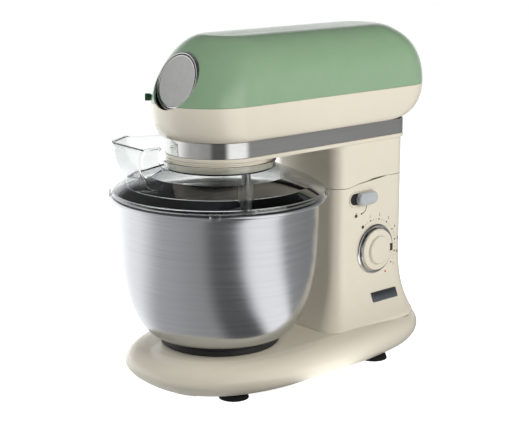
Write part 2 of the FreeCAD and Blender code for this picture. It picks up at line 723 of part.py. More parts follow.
def build_gears():
    ring_low, ring_high = 246.4, 256.0
    bore = gear_face(D["planet_module"], D["ring_teeth"], 0.9, 1.35, True)
    hollow = Part.Face(bore).extrude(Vec(0, 0, 20))
    hollow.translate(Vec(0, 0, ring_low - 5))
    ring = cylinder(48.2, ring_low, ring_high).cut(hollow)
    made("ring_gear", ring)

    planet = Part.Face(gear_face(D["planet_module"], D["planet_teeth"], 0.85, 1.25)).extrude(
        Vec(0, 0, 8.4))
    planet.rotate(ZERO, UP, PLANET_PHASE)
    planet.translate(Vec(D["orbit"] - 0.1, 0, 247.0))
    planet.rotate(ZERO, UP, PLANET_TURN)
    shaft_x = (D["orbit"] - 0.1) * math.cos(math.radians(PLANET_TURN))
    shaft_y = (D["orbit"] - 0.1) * math.sin(math.radians(PLANET_TURN))
    made("planet_pinion", planet.cut(cylinder(5, 240, 260, shaft_x, shaft_y)))

    shaft = cylinder(5, 206, 260.6, shaft_x, shaft_y)
    tip = cylinder(4.4, 202, 206.5, shaft_x, shaft_y)
    cross = Part.makeCylinder(1.6, 19, Vec(shaft_x, shaft_y - 9.5, 217), BACK)
    made("beater_shaft", join([shaft, tip, cross]))

    main = Part.Face(gear_face(D["input_module"], D["main_teeth"], 0.9, 1.25)).extrude(
        Vec(0, 0, 8))
    main.translate(Vec(0, 0, 263))
    made("main_gear", main.cut(cylinder(6, 250, 280)))

    pinion = Part.Face(gear_face(D["input_module"], D["input_teeth"], 0.9, 1.25)).extrude(
        Vec(0, 0, 9))
    pinion.rotate(ZERO, UP, INPUT_PHASE)
    pinion.translate(Vec(0, D["input_y"], 262.5))
    shaft = [cylinder(5, 271, 353, 0, D["input_y"]), cylinder(4.2, 352, 354, 0, D["input_y"])]
    made("input_shaft", join([pinion] + shaft))
    return shaft_x, shaft_y


PLANET_PHASE = 180 / 14    # a gap of the planet faces outwards along the orbit's arm
INPUT_PHASE = 15.0         # half an input tooth, so that a gap meets the main gear's tooth


def build_carrier(shaft_x, shaft_y):
    cap = cylinder(50, 238.6, 240.2).fuse(cylinder(46, 240.2, 245.4))
    upper = cylinder(38, 257.2, 262.4)
    spindle = cylinder(6, 262, 290.5)
    post = cylinder(36, 245, 258).cut(block(-50, 50, -60, -4, 240, 262))
    post = post.common(cylinder(36, 245, 258))
    post.rotate(ZERO, UP, PLANET_TURN + 90)
    body = join([cap, upper, spindle, post])
    body = body.cut(cylinder(13.2, 245.4, 257.2, shaft_x, shaft_y))
    body = body.cut(cylinder(5.06, 230, 261.2, shaft_x, shaft_y))
    made("planet_carrier", body)


def build_beater(shaft_x, shaft_y):
    """The flat beater: a cast blade with a frame, three ribs, a stem and a bayonet sleeve."""
    thick = 7.0
    outer = Part.BSplineCurve()
    outer.interpolate([Vec(0, 0, 66), Vec(30, 0, 78), Vec(50, 0, 112), Vec(53, 0, 150),
                       Vec(38, 0, 178), Vec(0, 0, 192), Vec(-38, 0, 178), Vec(-53, 0, 150),
                       Vec(-50, 0, 112), Vec(-30, 0, 78)], PeriodicFlag=True)
    inner = Part.BSplineCurve()
    inner.interpolate([Vec(0, 0, 76), Vec(24, 0, 86), Vec(41, 0, 114), Vec(43, 0, 146),
                       Vec(31, 0, 168), Vec(0, 0, 180), Vec(-31, 0, 168), Vec(-43, 0, 146),
                       Vec(-41, 0, 114), Vec(-24, 0, 86)], PeriodicFlag=True)
    def slab(curve, depth):
        solid = Part.Face(Part.Wire([curve.toShape()])).extrude(Vec(0, depth, 0))
        solid.translate(Vec(0, -depth / 2, 0))
        return solid
    blade = slab(outer, thick)
    frame = blade.cut(slab(inner, thick + 4))
    ribs = [block(-3, 3, -thick / 2, thick / 2, 70, 190)]
    for low in (104, 134):
        ribs.append(block(-50, 50, -thick / 2, thick / 2, low, low + 6).common(blade))
    stem = cylinder(6.5, 186, 201.5)
    sleeve = cylinder(8.5, 200, 222).cut(cylinder(5.25, 201.5, 230))
    slot = block(-1.9, 1.9, -12, 12, 214, 225)
    sleeve = sleeve.cut(slot)
    pieces = [frame, stem, sleeve] + ribs
    for piece in pieces:
        piece.translate(Vec(shaft_x, shaft_y, 0))
    return made("flat_beater", join(pieces))


def build_input_and_motor():
    """Two vertical shafts joined by a ribbed belt: the motor's and the gearbox input's."""
    low, high = "pulley_low_z", "pulley_high_z"
    turned("large_pulley", [("5", low), ("9", low), ("9", low + " + 3"),
                            ("large_pulley_radius - 4", low + " + 3"),
                            ("large_pulley_radius - 4", low),
                            ("large_pulley_radius + 1.4", low),
                            ("large_pulley_radius + 1.4", low + " + 1"),
                            ("large_pulley_radius", low + " + 1"),
                            ("large_pulley_radius", high + " - 1"),
                            ("large_pulley_radius + 1.4", high + " - 1"),
                            ("large_pulley_radius + 1.4", high),
                            ("large_pulley_radius - 4", high),
                            ("large_pulley_radius - 4", low + " + 6"),
                            ("9", low + " + 6"), ("9", high), ("5", high)], "0", "input_y")
    turned("motor_shaft", [("0", "258"), ("4", "258"), ("4", "353"), ("3.4", "353.8"),
                           ("0", "353.8")], "0", "motor_y")
    turned("small_pulley", [("4", low), ("small_pulley_radius + 1.4", low),
                            ("small_pulley_radius + 1.4", low + " + 1"),
                            ("small_pulley_radius", low + " + 1"),
                            ("small_pulley_radius", high + " - 1"),
                            ("small_pulley_radius + 1.4", high + " - 1"),
                            ("small_pulley_radius + 1.4", high), ("4", high)], "0", "motor_y")

    core = cylinder(22.6, 276, 312).cut(cylinder(4, 270, 330))
    slots = []
    for index in range(12):
        slot = block(17, 24, -1, 1, 270, 320)
        slot.rotate(ZERO, UP, 30 * index)
        slots.append(slot)
    core = core.cut(slots[0].multiFuse(slots[1:]))
    made("armature_core", core, "0", "motor_y")
    turned("armature_windings", [("4", "312"), ("14", "312"), ("17", "314"), ("17", "318"),
                                 ("13", "320.6"), ("4", "320.6")], "0", "motor_y")
    commutator = cylinder(10.5, 264.4, 275).cut(cylinder(4, 260, 280))
    for index in range(12):
        groove = block(8.6, 12, -0.3, 0.3, 260, 280)
        groove.rotate(ZERO, UP, 30 * index)
        commutator = commutator.cut(groove)
    made("commutator", commutator, "0", "motor_y")

    fan = cylinder(30, 326.4, 328).fuse(cylinder(9, 326.4, 336)).cut(cylinder(4, 320, 340))
    blades = []
    for index in range(9):
        blade = block(8, 30, -0.8, 0.8, 327, 335)
        blade.rotate(Vec(8, 0, 0), UP, 24)
        blade.rotate(ZERO, UP, 40 * index)
        blades.append(blade.common(cylinder(30, 320, 340)))
    made("cooling_fan", join([fan] + blades), "0", "motor_y")

    stator = prism(rounded_outline(40, -40, 40, 14, 14, 274), 40)
    window = cylinder(33, 270, 320).cut(block(-40, 40, -12, 12, 268, 322))
    made("motor_stator", stator.cut(window).cut(cylinder(23.4, 270, 320)), "0", "motor_y")

    ring = cylinder(32.6, 270, 318.6).cut(cylinder(25.5, 260, 330))
    ring = ring.cut(block(-40, 40, -12.6, 12.6, 273.4, 314.6))
    coils = [ring.common(block(2.5, 40, -40, 40, 260, 330)),
             ring.common(block(-40, -2.5, -40, 40, 260, 330))]
    made("field_coils", Part.makeCompound(coils), "0", "motor_y")

    top_arm = block(-39, 39, -9, 9, 320.9, 325).fuse(cylinder(13.5, 320.9, 325.8))
    top_arm = top_arm.cut(cylinder(9, 310, 330))
    top_posts = [block(x, x + 3, -9, 9, 314, 322) for x in (-39, 36)]
    feet = []
    for x, y in MOTOR_FEET:
        foot = cylinder(4.5, CHASSIS_TOP, 274, x, y - D["motor_y"])
        feet.append(foot.cut(cylinder(1.6, 250, 270, x, y - D["motor_y"])))
    made("motor_brackets", Part.makeCompound([join([top_arm] + top_posts)] + feet),
         "0", "motor_y")

    brush = block(10.8, 20, -3, 3, 267.0, 272.0)
    holder = block(13, 24, -4.4, 4.4, CHASSIS_TOP, 273.4)
    holder = holder.cut(block(5, 22, -3, 3, 267.0, 272.0))
    made("carbon_brushes", Part.makeCompound(on_both_sides(brush)), "0", "motor_y")
    made("brush_holders", Part.makeCompound(on_both_sides(holder)), "0", "motor_y")


def belt_outline(grow, z):
    """Two arcs round the pulleys, joined by their outer tangents."""
    big = D["large_pulley_radius"] + grow
    small = D["small_pulley_radius"] + grow
    y0, y1 = D["input_y"], D["motor_y"]
    lean = math.asin((big - small) / (y1 - y0))
    c, s = math.cos(lean), math.sin(lean)
    big_right, big_left = Vec(big * c, y0 + big * s, z), Vec(-big * c, y0 + big * s, z)
    small_right, small_left = Vec(small * c, y1 + small * s, z), Vec(-small * c, y1 + small * s, z)
    edges = [
        Part.Arc(big_left, Vec(0, y0 - big, z), big_right).toShape(),
        Part.makeLine(big_right, small_right),
        Part.Arc(small_right, Vec(0, y1 + small, z), small_left).toShape(),
        Part.makeLine(small_left, big_left),
    ]
    return Part.Wire(edges)


def build_belt():
    low, height = D["pulley_low_z"] + 1.4, 9.2
    outer = prism(belt_outline(0.3 + D["belt_thick"], low), height)
    inner = prism(belt_outline(0.3, low - 1), height + 2)
    return made("drive_belt", outer.cut(inner))


def build_hub():
    place_hub = ("0", "hub_y", "hub_z", hub_turn())
    turned("hub_socket", [("17", "-30"), ("27.4", "-30"), ("27.4", "-3.2"), ("17", "-3.2")],
           *place_hub)
    turned("hub_bezel", [("hub_radius + 0.5", "-2.5"), ("hub_radius + 3.2", "-2.5"),
                         ("hub_radius + 3", "-1.2"), ("hub_radius + 1.4", "0"),
                         ("hub_radius + 0.5", "-0.6")], *place_hub)
    turned("hub_cap", [("0", "-2.4"), ("0", "0"), ("hub_radius - 1", "0"),
                       ("hub_radius", "-0.8"), ("hub_radius", "-2.4"), ("16.6", "-2.4"),
                       ("16.6", "-12"), ("14.6", "-12"), ("14.6", "-2.4")], *place_hub)
    coil = helix_spring(4.6, 0.35, 1.6, 5.6)
    out = Vec(math.cos(BUTTON_ANGLE), math.sin(BUTTON_ANGLE), 0)
    coil.Placement = FreeCAD.Placement(button_root() - out * 13.6, FreeCAD.Rotation(UP, out))
    made("button_spring", Part.makeCompound([coil]))


def helix_spring(radius, wire_radius, pitch, height, per_turn=12):
    """A round-wire coil spring standing on Z = 0, its wire swept along a smooth helix."""
    count = round(height / pitch * per_turn)
    points = []
    for index in range(count + 1):
        angle = 2 * math.pi * index / per_turn
        points.append(Vec(radius * math.cos(angle), radius * math.sin(angle),
                          height * index / count))
    curve = Part.BSplineCurve()
    curve.interpolate(points)
    along = curve.tangent(curve.FirstParameter)[0]
    ring = Part.Wire([Part.makeCircle(wire_radius, points[0], along)])
    return Part.Wire([curve.toShape()]).makePipeShell([ring], True, True)


def build_lever():
    """The grip on the column's side turns a shaft whose hook catches the head's striker."""
    x, z = D["column_half_width"], D["lever_z"]
    shaft = Part.makeCylinder(4.2, x + 6 - HOOK_X[0], Vec(HOOK_X[0], LATCH_Y, z), RIGHT)
    grip = pill(31, 15, x + 1.2, x + 9.6, LATCH_Y - 7.4, z)
    scoop = pill(22, 8, x + 8.4, x + 12, LATCH_Y - 7.4, z)
    bore = Part.makeCylinder(4.2, 6, Vec(x, LATCH_Y, z), RIGHT)
    made("tilt_lever", grip.cut(scoop).cut(bore))
    boss = Part.makeCylinder(8, HOOK_X[1] - HOOK_X[0], Vec(HOOK_X[0], LATCH_Y, z), RIGHT)
    arm = block(*HOOK_X, LATCH_Y - 3, LATCH_Y + 3, z, z + 26)
    nose = block(*HOOK_X, LATCH_Y - 3, LATCH_Y + 10, z + 20, z + 26)
    made("latch_shaft", join([shaft, boss, arm, nose]))
    coil = helix_spring(6.4, 0.6, 2.0, 10)
    coil.Placement = FreeCAD.Placement(Vec(26, LATCH_Y, z), SIDEWAYS)
    made("latch_spring", Part.makeCompound([coil]))


def build_knob():
    side = "column_half_width"
    turned("knob_shaft", [("0", "-18"), ("3.2", "-18"), ("3.2", "7"), ("0", "7")],
           side, "knob_y", "knob_z", SIDEWAYS)
    turned("knob_skirt", [("18", "1.2"), ("knob_radius + 0.6", "1.2"),
                          ("knob_radius + 0.6", "2.6"), ("knob_radius", "4.6"), ("18", "4.6")],
           side, "knob_y", "knob_z", SIDEWAYS)
    turned("speed_knob", [("3.2", "1.2"), ("17.9", "1.2"), ("17.9", "4.7"),
                          ("knob_radius - 0.6", "4.7"), ("knob_radius - 0.8", "6.4"),
                          ("knob_radius - 1.8", "7.2"), ("17.2", "7.2"), ("16.4", "10.2"),
                          ("15.2", "11"), ("0", "11"), ("0", "7.05"), ("3.2", "7.05")],
           side, "knob_y", "knob_z", SIDEWAYS)


# ---------------------------------------------------------------- bowl and guard

def build_bowl():
    """A deep steel bowl: rolled rim, near-vertical wall, round shoulder down to the foot."""
    rim_z, rim_r, wall_r = D["bowl_rim_z"], D["bowl_rim_radius"], D["bowl_wall_radius"]
    foot_r, foot_z, sheet_t = D["bowl_foot_radius"], D["bowl_foot_z"] + 4, D["bowl_sheet"]
    roll = 2.9
    curve = Part.BSplineCurve()
    curve.interpolate([Vec(foot_r, 0, foot_z), Vec(86, 0, 62), Vec(100, 0, 90),
                       Vec(107.5, 0, 125), Vec(110.4, 0, 165), Vec(wall_r, 0, rim_z - 6)])
    inner = Part.BSplineCurve()
    inner.interpolate([Vec(foot_r - 0.7, 0, foot_z + sheet_t), Vec(85.2, 0, 62.8),
                       Vec(98.9, 0, 90.4), Vec(106.3, 0, 125.1), Vec(109.2, 0, 165),
                       Vec(wall_r - sheet_t, 0, rim_z - 6)])
    top_in = Vec(wall_r - sheet_t + 1.6, 0, rim_z)
    out_high = Vec(rim_r, 0, rim_z - 0.6)
    out_low = Vec(rim_r - 0.4, 0, rim_z - 2 * roll)
    edges = [
        curve.toShape(),
        Part.makeLine(curve.EndPoint, Vec(wall_r + 1.6, 0, rim_z - 2.4)),
        Part.makeLine(Vec(wall_r + 1.6, 0, rim_z - 2.4), Vec(rim_r - 2.4, 0, rim_z - 2.2)),
        Part.makeLine(Vec(rim_r - 2.4, 0, rim_z - 2.2), Vec(rim_r - 2.2, 0, rim_z - 2 * roll)),
        Part.makeLine(Vec(rim_r - 2.2, 0, rim_z - 2 * roll), out_low),
        Part.makeLine(out_low, out_high),
        Part.makeLine(out_high, Vec(rim_r - 1, 0, rim_z)),
        Part.makeLine(Vec(rim_r - 1, 0, rim_z), top_in),
        Part.makeLine(top_in, inner.EndPoint),
        inner.toShape(),
        Part.makeLine(inner.StartPoint, Vec(0, 0, foot_z + sheet_t)),
        Part.makeLine(Vec(0, 0, foot_z + sheet_t), Vec(0, 0, foot_z)),
        Part.makeLine(Vec(0, 0, foot_z), curve.StartPoint),
    ]
    wire = Part.Wire(Part.__sortEdges__(edges))
    made("bowl", Part.Face(wire).revolve(ZERO, UP, 360))

    top, skirt = D["bowl_foot_z"] + 3.95, D["seat_radius"] - 8
    ring = cylinder(foot_r - 0.6, D["deck_z"] + 0.9, top).cut(cylinder(skirt - 1.4, 30, 60))
    wall = cylinder(skirt, D["deck_z"] - 3, top).cut(cylinder(skirt - 1.4, 30, 60))
    tab = block(skirt - 1, skirt + 3.6, -6, 6, D["deck_z"] - 3, D["deck_z"] - 1.4)
    made("bowl_foot_ring", join([ring, wall] + around(tab, 3)))


def guard_profile():
    """The guard's outer face, from the rim up to the neck, as (radius, height) corners."""
    rim, neck = D["bowl_rim_z"], D["guard_neck_radius"]
    return [(118.8, rim + 0.4), (117.4, rim + 4.8), (105, rim + 13), (80, rim + 23.6),
            (neck + 1.8, D["collar_bottom_z"] + 1.4)]


def guard_block(lift, close_at):
    """The solid under the guard's face, lifted straight up and filled down to a height."""
    face = [Vec(r, 0, z + lift) for r, z in guard_profile()]
    corners = face + [Vec(0, 0, face[-1].z), Vec(0, 0, close_at), Vec(face[0].x, 0, close_at)]
    return Part.Face(Part.makePolygon(corners + [corners[0]])).revolve(ZERO, UP, 360)


def build_guard():
    """The clear guard: a shallow cone with a neck round the collar and four lugs on the rim."""
    neck, rim = D["guard_neck_radius"], D["bowl_rim_z"]
    shell = guard_block(0, rim + 0.4).cut(guard_block(-D["guard_sheet"], rim - 5))
    ring = cylinder(neck + 1.8, D["collar_bottom_z"] - 1, D["lip_z"] - 3)
    bead = cylinder(neck + 3.2, D["lip_z"] - 4.4, D["lip_z"] - 3)
    lug = block(115.6, 122.2, -5, 5, rim + 0.4, rim + 2.4).fuse(
        block(120.6, 122.2, -5, 5, rim - 5, rim + 2.4))
    lugs = []
    for copy in around(lug, 4):
        copy.rotate(ZERO, UP, 48)
        lugs.append(copy)
    body = join([shell, ring, bead] + lugs)
    body = body.cut(cylinder(neck, 200, 300)).cut(chute_block(D["guard_sheet"] + 2.4, 200, 300))
    made("splash_guard", body)


CHUTE_ANGLE = 211
CHUTE_TOP = 266


def chute_outline(inset, flare, z):
    """Half a hexagon against the guard's neck: wide at the neck, narrow at its outer lip."""
    turn = math.radians(CHUTE_ANGLE)
    neck = D["guard_neck_radius"] + 3.4
    corners = []
    for radius, degrees in ((neck, 36), (88, 43), (104 + flare, 11)):
        corners.append((radius, degrees))
    ring = corners + [(radius, -degrees) for radius, degrees in reversed(corners)]
    points = []
    for radius, degrees in ring:
        angle = turn + math.radians(degrees)
        points.append(Vec(radius * math.cos(angle), radius * math.sin(angle), z))
    wire = Part.makePolygon(points + [points[0]])
    return wire.makeOffset2D(-inset) if inset else wire


def chute_block(inset, low, high):
    """The chute's inside or outside, its outer lip leaning out as it rises."""
    span = CHUTE_TOP - D["bowl_rim_z"]
    outlines = [chute_outline(inset, 16.5 * (z - D["bowl_rim_z"]) / span, z) for z in (low, high)]
    return Part.makeLoft(outlines, True, True)


def build_chute():
    """The clear pouring chute that stands on the guard, open above and below."""
    rim = D["bowl_rim_z"]
    wall = chute_block(0, rim, CHUTE_TOP).cut(chute_block(1.8, rim - 2, CHUTE_TOP + 2))
    wall = wall.cut(guard_block(0.05, rim - 5))
    wall = wall.cut(cylinder(D["guard_neck_radius"] + 3.4, 200, 300))
    made("feed_chute", largest(wall))


# ---------------------------------------------------------------- build

build_base_shell()
build_base_plate()
build_feet()
build_screws("base_screws", [(x, y, D["base_edge_z"] - 1.2) for x, y in SCREW_SPOTS],
             4, 1.6, 1.9, 12, upside_down=True)
build_bowl_seat()
build_column_frame()
build_hinge()
build_controls()
build_head_covers()
build_button()
build_trim_band()
build_under_cover()
build_chassis()
build_gearbox()
spot = build_gears()
build_carrier(*spot)
build_beater(*spot)
build_input_and_motor()
build_belt()
build_hub()
build_lever()
build_knob()
build_bowl()
build_guard()
build_chute()
build_screws("chassis_screws", [(x, y, CHASSIS_TOP + 6) for x, y in GEARBOX_FEET],
             3.4, 2, 1.7, 9)

doc.recompute()
os.makedirs("parts", exist_ok=True)
faults = []
for item in doc.Objects:
    if any(word in state for state in item.State for word in ("Invalid", "Error")):
        faults.append(f"{item.Label}: {item.State}")
for item in nodes:
    if item.Shape.isNull() or not item.Shape.isValid() or item.Shape.Volume <= 0:
        faults.append(f"{item.Label}: shape")
if faults:
    raise RuntimeError("; ".join(faults))
for item in nodes:
    item.Shape.exportStep(f"parts/{item.Label}.step")
total = Part.makeCompound([item.Shape for item in nodes]).BoundBox
print(len(nodes), "pieces", total)
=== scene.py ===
"""A tilt-head stand mixer: glossy shells, steel bowl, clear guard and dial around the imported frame.

Everything is in metres in the machine's own frame; MM turns a size in millimetres into metres.
Each sub-assembly is drawn about the bowl's axis and then carried to that axis.
"""

import json
import logging
import math
from dataclasses import dataclass
from enum import Enum
from typing import Callable, Optional, Sequence

import bmesh
import bpy
from mathutils import Matrix, Vector


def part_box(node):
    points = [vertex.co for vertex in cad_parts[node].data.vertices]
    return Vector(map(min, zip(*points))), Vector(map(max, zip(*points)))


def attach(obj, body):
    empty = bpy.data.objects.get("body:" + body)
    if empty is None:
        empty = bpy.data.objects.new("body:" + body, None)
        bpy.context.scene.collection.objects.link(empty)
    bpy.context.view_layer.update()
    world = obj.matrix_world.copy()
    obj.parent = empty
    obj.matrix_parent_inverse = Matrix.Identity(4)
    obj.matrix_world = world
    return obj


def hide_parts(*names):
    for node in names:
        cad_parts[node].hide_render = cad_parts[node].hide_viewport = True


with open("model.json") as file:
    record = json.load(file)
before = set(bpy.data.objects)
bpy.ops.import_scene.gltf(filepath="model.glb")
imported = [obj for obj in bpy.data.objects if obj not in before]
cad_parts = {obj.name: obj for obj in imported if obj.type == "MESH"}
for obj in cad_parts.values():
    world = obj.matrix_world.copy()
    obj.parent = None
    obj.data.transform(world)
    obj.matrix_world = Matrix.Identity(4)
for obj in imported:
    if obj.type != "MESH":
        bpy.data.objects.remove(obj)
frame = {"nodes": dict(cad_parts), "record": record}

LOG = logging.getLogger("mixer")
MM = 0.001
FULL_TURN = 2 * math.pi
Loop = list[bmesh.types.BMVert]
Outline = list[Vector]


# ---------------------------------------------------------------- node trees

class Wiring:
    """A node tree with short calls that add nodes and join their sockets."""

    def __init__(self, tree: bpy.types.NodeTree) -> None:
        """Starts with an empty tree.

        Args:
            tree: The tree to fill.
        """
        self.tree = tree
        tree.nodes.clear()

    def add(self, kind: str, inputs: Optional[dict] = None, **settings) -> bpy.types.Node:
        """Adds a node.

        Args:
            kind: The node's type, without its "ShaderNode" in front.
            inputs: Plain values, or sockets to join, by input name or number.
            settings: The node's own settings.

        Returns:
            The new node.
        """
        name = kind if kind.startswith("Node") else "ShaderNode" + kind
        node = self.tree.nodes.new(name)
        for key, value in settings.items():
            setattr(node, key, value)
        for key, value in (inputs or {}).items():
            if isinstance(value, bpy.types.NodeSocket):
                self.tree.links.new(value, node.inputs[key])
            else:
                node.inputs[key].default_value = value
        return node

    def sum(self, operation: str, *values) -> bpy.types.NodeSocket:
        """Joins values with one Math node and returns its result socket."""
        return self.add("Math", dict(enumerate(values)), operation=operation).outputs[0]

    def blend(self, share, low, high) -> bpy.types.NodeSocket:
        """Mixes two colours by a share and returns the colour socket."""
        node = self.add("Mix", {0: share, 6: low, 7: high}, data_type="RGBA")
        return node.outputs[2]

    def spread(self, value, low: float, high: float, to_low: float,
               to_high: float) -> bpy.types.NodeSocket:
        """Maps a range of a value onto another range, held at its ends."""
        node = self.add("MapRange", {0: value, 1: low, 2: high, 3: to_low, 4: to_high})
        return node.outputs[0]


class Effect(Enum):
    """The shared surface effects, each built once as a node group."""

    MOULDED = "moulded_skin"
    BRUSHED = "brushed_lines"
    SPUN = "spun_lines"
    CAST = "cast_grain"


def effect_group(effect: Effect) -> bpy.types.NodeTree:
    """Gives the node group of an effect, and builds it the first time.

    Every group takes Coordinates, Scale and Contrast, and puts out Tone (0 to 1, for colour and
    roughness) and Height (for a bump).

    Args:
        effect: The effect wanted.

    Returns:
        The shader node group.
    """
    known = bpy.data.node_groups.get(effect.value)
    if known:
        return known
    tree = bpy.data.node_groups.new(effect.value, "ShaderNodeTree")
    sockets = tree.interface
    sockets.new_socket("Coordinates", in_out="INPUT", socket_type="NodeSocketVector")
    sockets.new_socket("Scale", in_out="INPUT", socket_type="NodeSocketFloat")
    sockets.new_socket("Contrast", in_out="INPUT", socket_type="NodeSocketFloat")
    sockets.new_socket("Tone", in_out="OUTPUT", socket_type="NodeSocketFloat")
    sockets.new_socket("Height", in_out="OUTPUT", socket_type="NodeSocketFloat")
    wires = Wiring(tree)
    given = wires.add("NodeGroupInput").outputs
    tone, height = EFFECT_PATTERNS[effect](wires, given)
    centred = wires.sum("SUBTRACT", tone, 0.5)
    stronger = wires.sum("MULTIPLY_ADD", centred, given["Contrast"], 0.5)
    held = wires.spread(stronger, 0.0, 1.0, 0.0, 1.0)
    out = wires.add("NodeGroupOutput")
    tree.links.new(held, out.inputs["Tone"])
    tree.links.new(height, out.inputs["Height"])
    return tree


def noise(wires: Wiring, place, scale, detail: float = 2.0) -> bpy.types.NodeSocket:
    """Adds a noise texture and returns its value socket."""
    return wires.add("TexNoise", {"Vector": place, "Scale": scale, "Detail": detail}).outputs[0]


def moulded_pattern(wires: Wiring, given) -> tuple:
    """Faint flow marks and handling haze, over the fine ripple of moulded plastic."""
    haze = noise(wires, given["Coordinates"], wires.sum("MULTIPLY", given["Scale"], 0.05), 3.0)
    ripple = noise(wires, given["Coordinates"], given["Scale"], 1.0)
    return wires.spread(haze, 0.3, 0.7, 0.0, 1.0), ripple


def brushed_pattern(wires: Wiring, given) -> tuple:
    """Long fine scratches along Y."""
    stretched = wires.add("VectorMath", {0: given["Coordinates"], 1: (1.0, 0.012, 1.0)},
                          operation="MULTIPLY").outputs[0]
    fine = noise(wires, stretched, given["Scale"], 3.0)
    slow = noise(wires, stretched, wires.sum("MULTIPLY", given["Scale"], 0.08), 2.0)
    mixed = wires.sum("MULTIPLY_ADD", slow, 0.35, wires.sum("MULTIPLY", fine, 0.65))
    return wires.spread(mixed, 0.32, 0.68, 0.0, 1.0), fine


def spun_pattern(wires: Wiring, given) -> tuple:
    """Fine rings about the Z axis through the coordinates' origin."""
    parts = wires.add("SeparateXYZ", {0: given["Coordinates"]}).outputs
    flat = wires.add("CombineXYZ", {0: parts[0], 1: parts[1]}).outputs[0]
    radius = wires.add("VectorMath", {0: flat}, operation="LENGTH").outputs[1]
    soft_x = wires.sum("MULTIPLY", parts[0], 0.01)
    soft_y = wires.sum("MULTIPLY", parts[1], 0.01)
    along = wires.sum("ADD", wires.sum("ADD", radius, soft_y), parts[2])
    rings = wires.add("CombineXYZ", {0: soft_x, 1: along, 2: parts[2]}).outputs[0]
    fine = noise(wires, rings, given["Scale"], 3.0)
    slow = noise(wires, rings, wires.sum("MULTIPLY", given["Scale"], 0.1), 2.0)
    mixed = wires.sum("MULTIPLY_ADD", slow, 0.4, wires.sum("MULTIPLY", fine, 0.6))
    return wires.spread(mixed, 0.32, 0.68, 0.0, 1.0), fine


def cast_pattern(wires: Wiring, given) -> tuple:
    """The mottled grain of a casting, rubber or laminate."""
    grain = noise(wires, given["Coordinates"], given["Scale"], 4.0)
    cells = wires.add("TexVoronoi", {"Vector": given["Coordinates"], "Scale": given["Scale"]})
    both = wires.sum("MULTIPLY_ADD", grain, 0.7, wires.sum("MULTIPLY", cells.outputs[0], 0.3))
    return wires.spread(both, 0.25, 0.75, 0.0, 1.0), both


EFFECT_PATTERNS: dict[Effect, Callable] = {
    Effect.MOULDED: moulded_pattern,
    Effect.BRUSHED: brushed_pattern,
    Effect.SPUN: spun_pattern,
    Effect.CAST: cast_pattern,
}


# ---------------------------------------------------------------- finishes

def paint(red: int, green: int, blue: int) -> tuple[float, float, float, float]:
    """Turns a paint chip's 0 to 255 values into a linear colour."""
    def linear(value: int) -> float:
        """Undoes the display's curve for one channel."""
        part = value / 255
        return part / 12.92 if part <= 0.04045 else ((part + 0.055) / 1.055) ** 2.4
    return (linear(red), linear(green), linear(blue), 1.0)


@dataclass(frozen=True)
class Finish:
    """One material: its colour range, gloss and the effect that breaks them up.

    Attributes:
        slot: The record's material slot, which the material is named after.
        colour: The main colour.
        shade: The colour where the effect's tone is low.
        rough: Roughness where the tone is low and where it is high.
        effect: The surface effect.
        scale: The effect's scale, per metre.
        contrast: How strongly the effect's tone swings.
        relief: The bump's depth in metres.
        metallic: 1 for bare metal.
        coat: The clear gloss coat's weight.
        brush: How far a brushed metal's highlight is drawn out.
        centre: The point that rings run about.
    """

    slot: str
    colour: tuple
    shade: tuple
    rough: tuple[float, float]
    effect: Effect = Effect.MOULDED
    scale: float = 900.0
    contrast: float = 1.0
    relief: float = 0.00002
    metallic: float = 0.0
    coat: float = 0.0
    brush: float = 0.0
    centre: tuple[float, float, float] = (0.0, 0.0, 0.0)

    def place(self, wires: Wiring) -> bpy.types.NodeSocket:
        """Adds the coordinates that the effect reads, moved to its centre."""
        own = wires.add("TexCoord").outputs["Object"]
        shift = tuple(-value for value in self.centre)
        return wires.add("Mapping", {"Vector": own, "Location": shift}).outputs[0]

    def decorate(self, wires: Wiring, colour, shader: bpy.types.Node) -> None:
        """Joins the colour to the shader; a finish with printing or marks adds them here."""
        wires.tree.links.new(colour, shader.inputs["Base Color"])

    def material(self) -> bpy.types.Material:
        """Gives the finish's material, and builds it the first time."""
        name = f"{self.slot}_finish"
        known = bpy.data.materials.get(name)
        if known:
            return known
        made = bpy.data.materials.new(name)
        made.use_nodes = True
        made.diffuse_color = self.colour
        wires = Wiring(made.node_tree)
        place = self.place(wires)
        effect = wires.add("Group", node_tree=effect_group(self.effect))
        effect.inputs["Scale"].default_value = self.scale
        effect.inputs["Contrast"].default_value = self.contrast
        wires.tree.links.new(place, effect.inputs["Coordinates"])
        tone = effect.outputs["Tone"]
        bump = wires.add("Bump", {"Strength": 1.0, "Distance": self.relief,
                                  "Height": effect.outputs["Height"]})
        shader = wires.add("BsdfPrincipled", {
            "Roughness": wires.spread(tone, 0.0, 1.0, *self.rough),
            "Metallic": self.metallic,
            "Coat Weight": self.coat,
            "Coat Roughness": 0.03,
            "Anisotropic": self.brush,
            "Normal": bump.outputs[0],
        })
        self.decorate(wires, wires.blend(tone, self.shade, self.colour), shader)
        out = wires.add("OutputMaterial")
        wires.tree.links.new(shader.outputs[0], out.inputs["Surface"])
        return made


@dataclass(frozen=True)
class SpunFinish(Finish):
    """Metal brushed in rings about a standing axis, which draws its highlights up and down."""

    def decorate(self, wires: Wiring, colour, shader: bpy.types.Node) -> None:
        """Adds the tangent that the highlight is drawn along."""
        wires.tree.links.new(colour, shader.inputs["Base Color"])
        around = wires.add("Tangent", direction_type="RADIAL", axis="Z")
        wires.tree.links.new(around.outputs[0], shader.inputs["Tangent"])


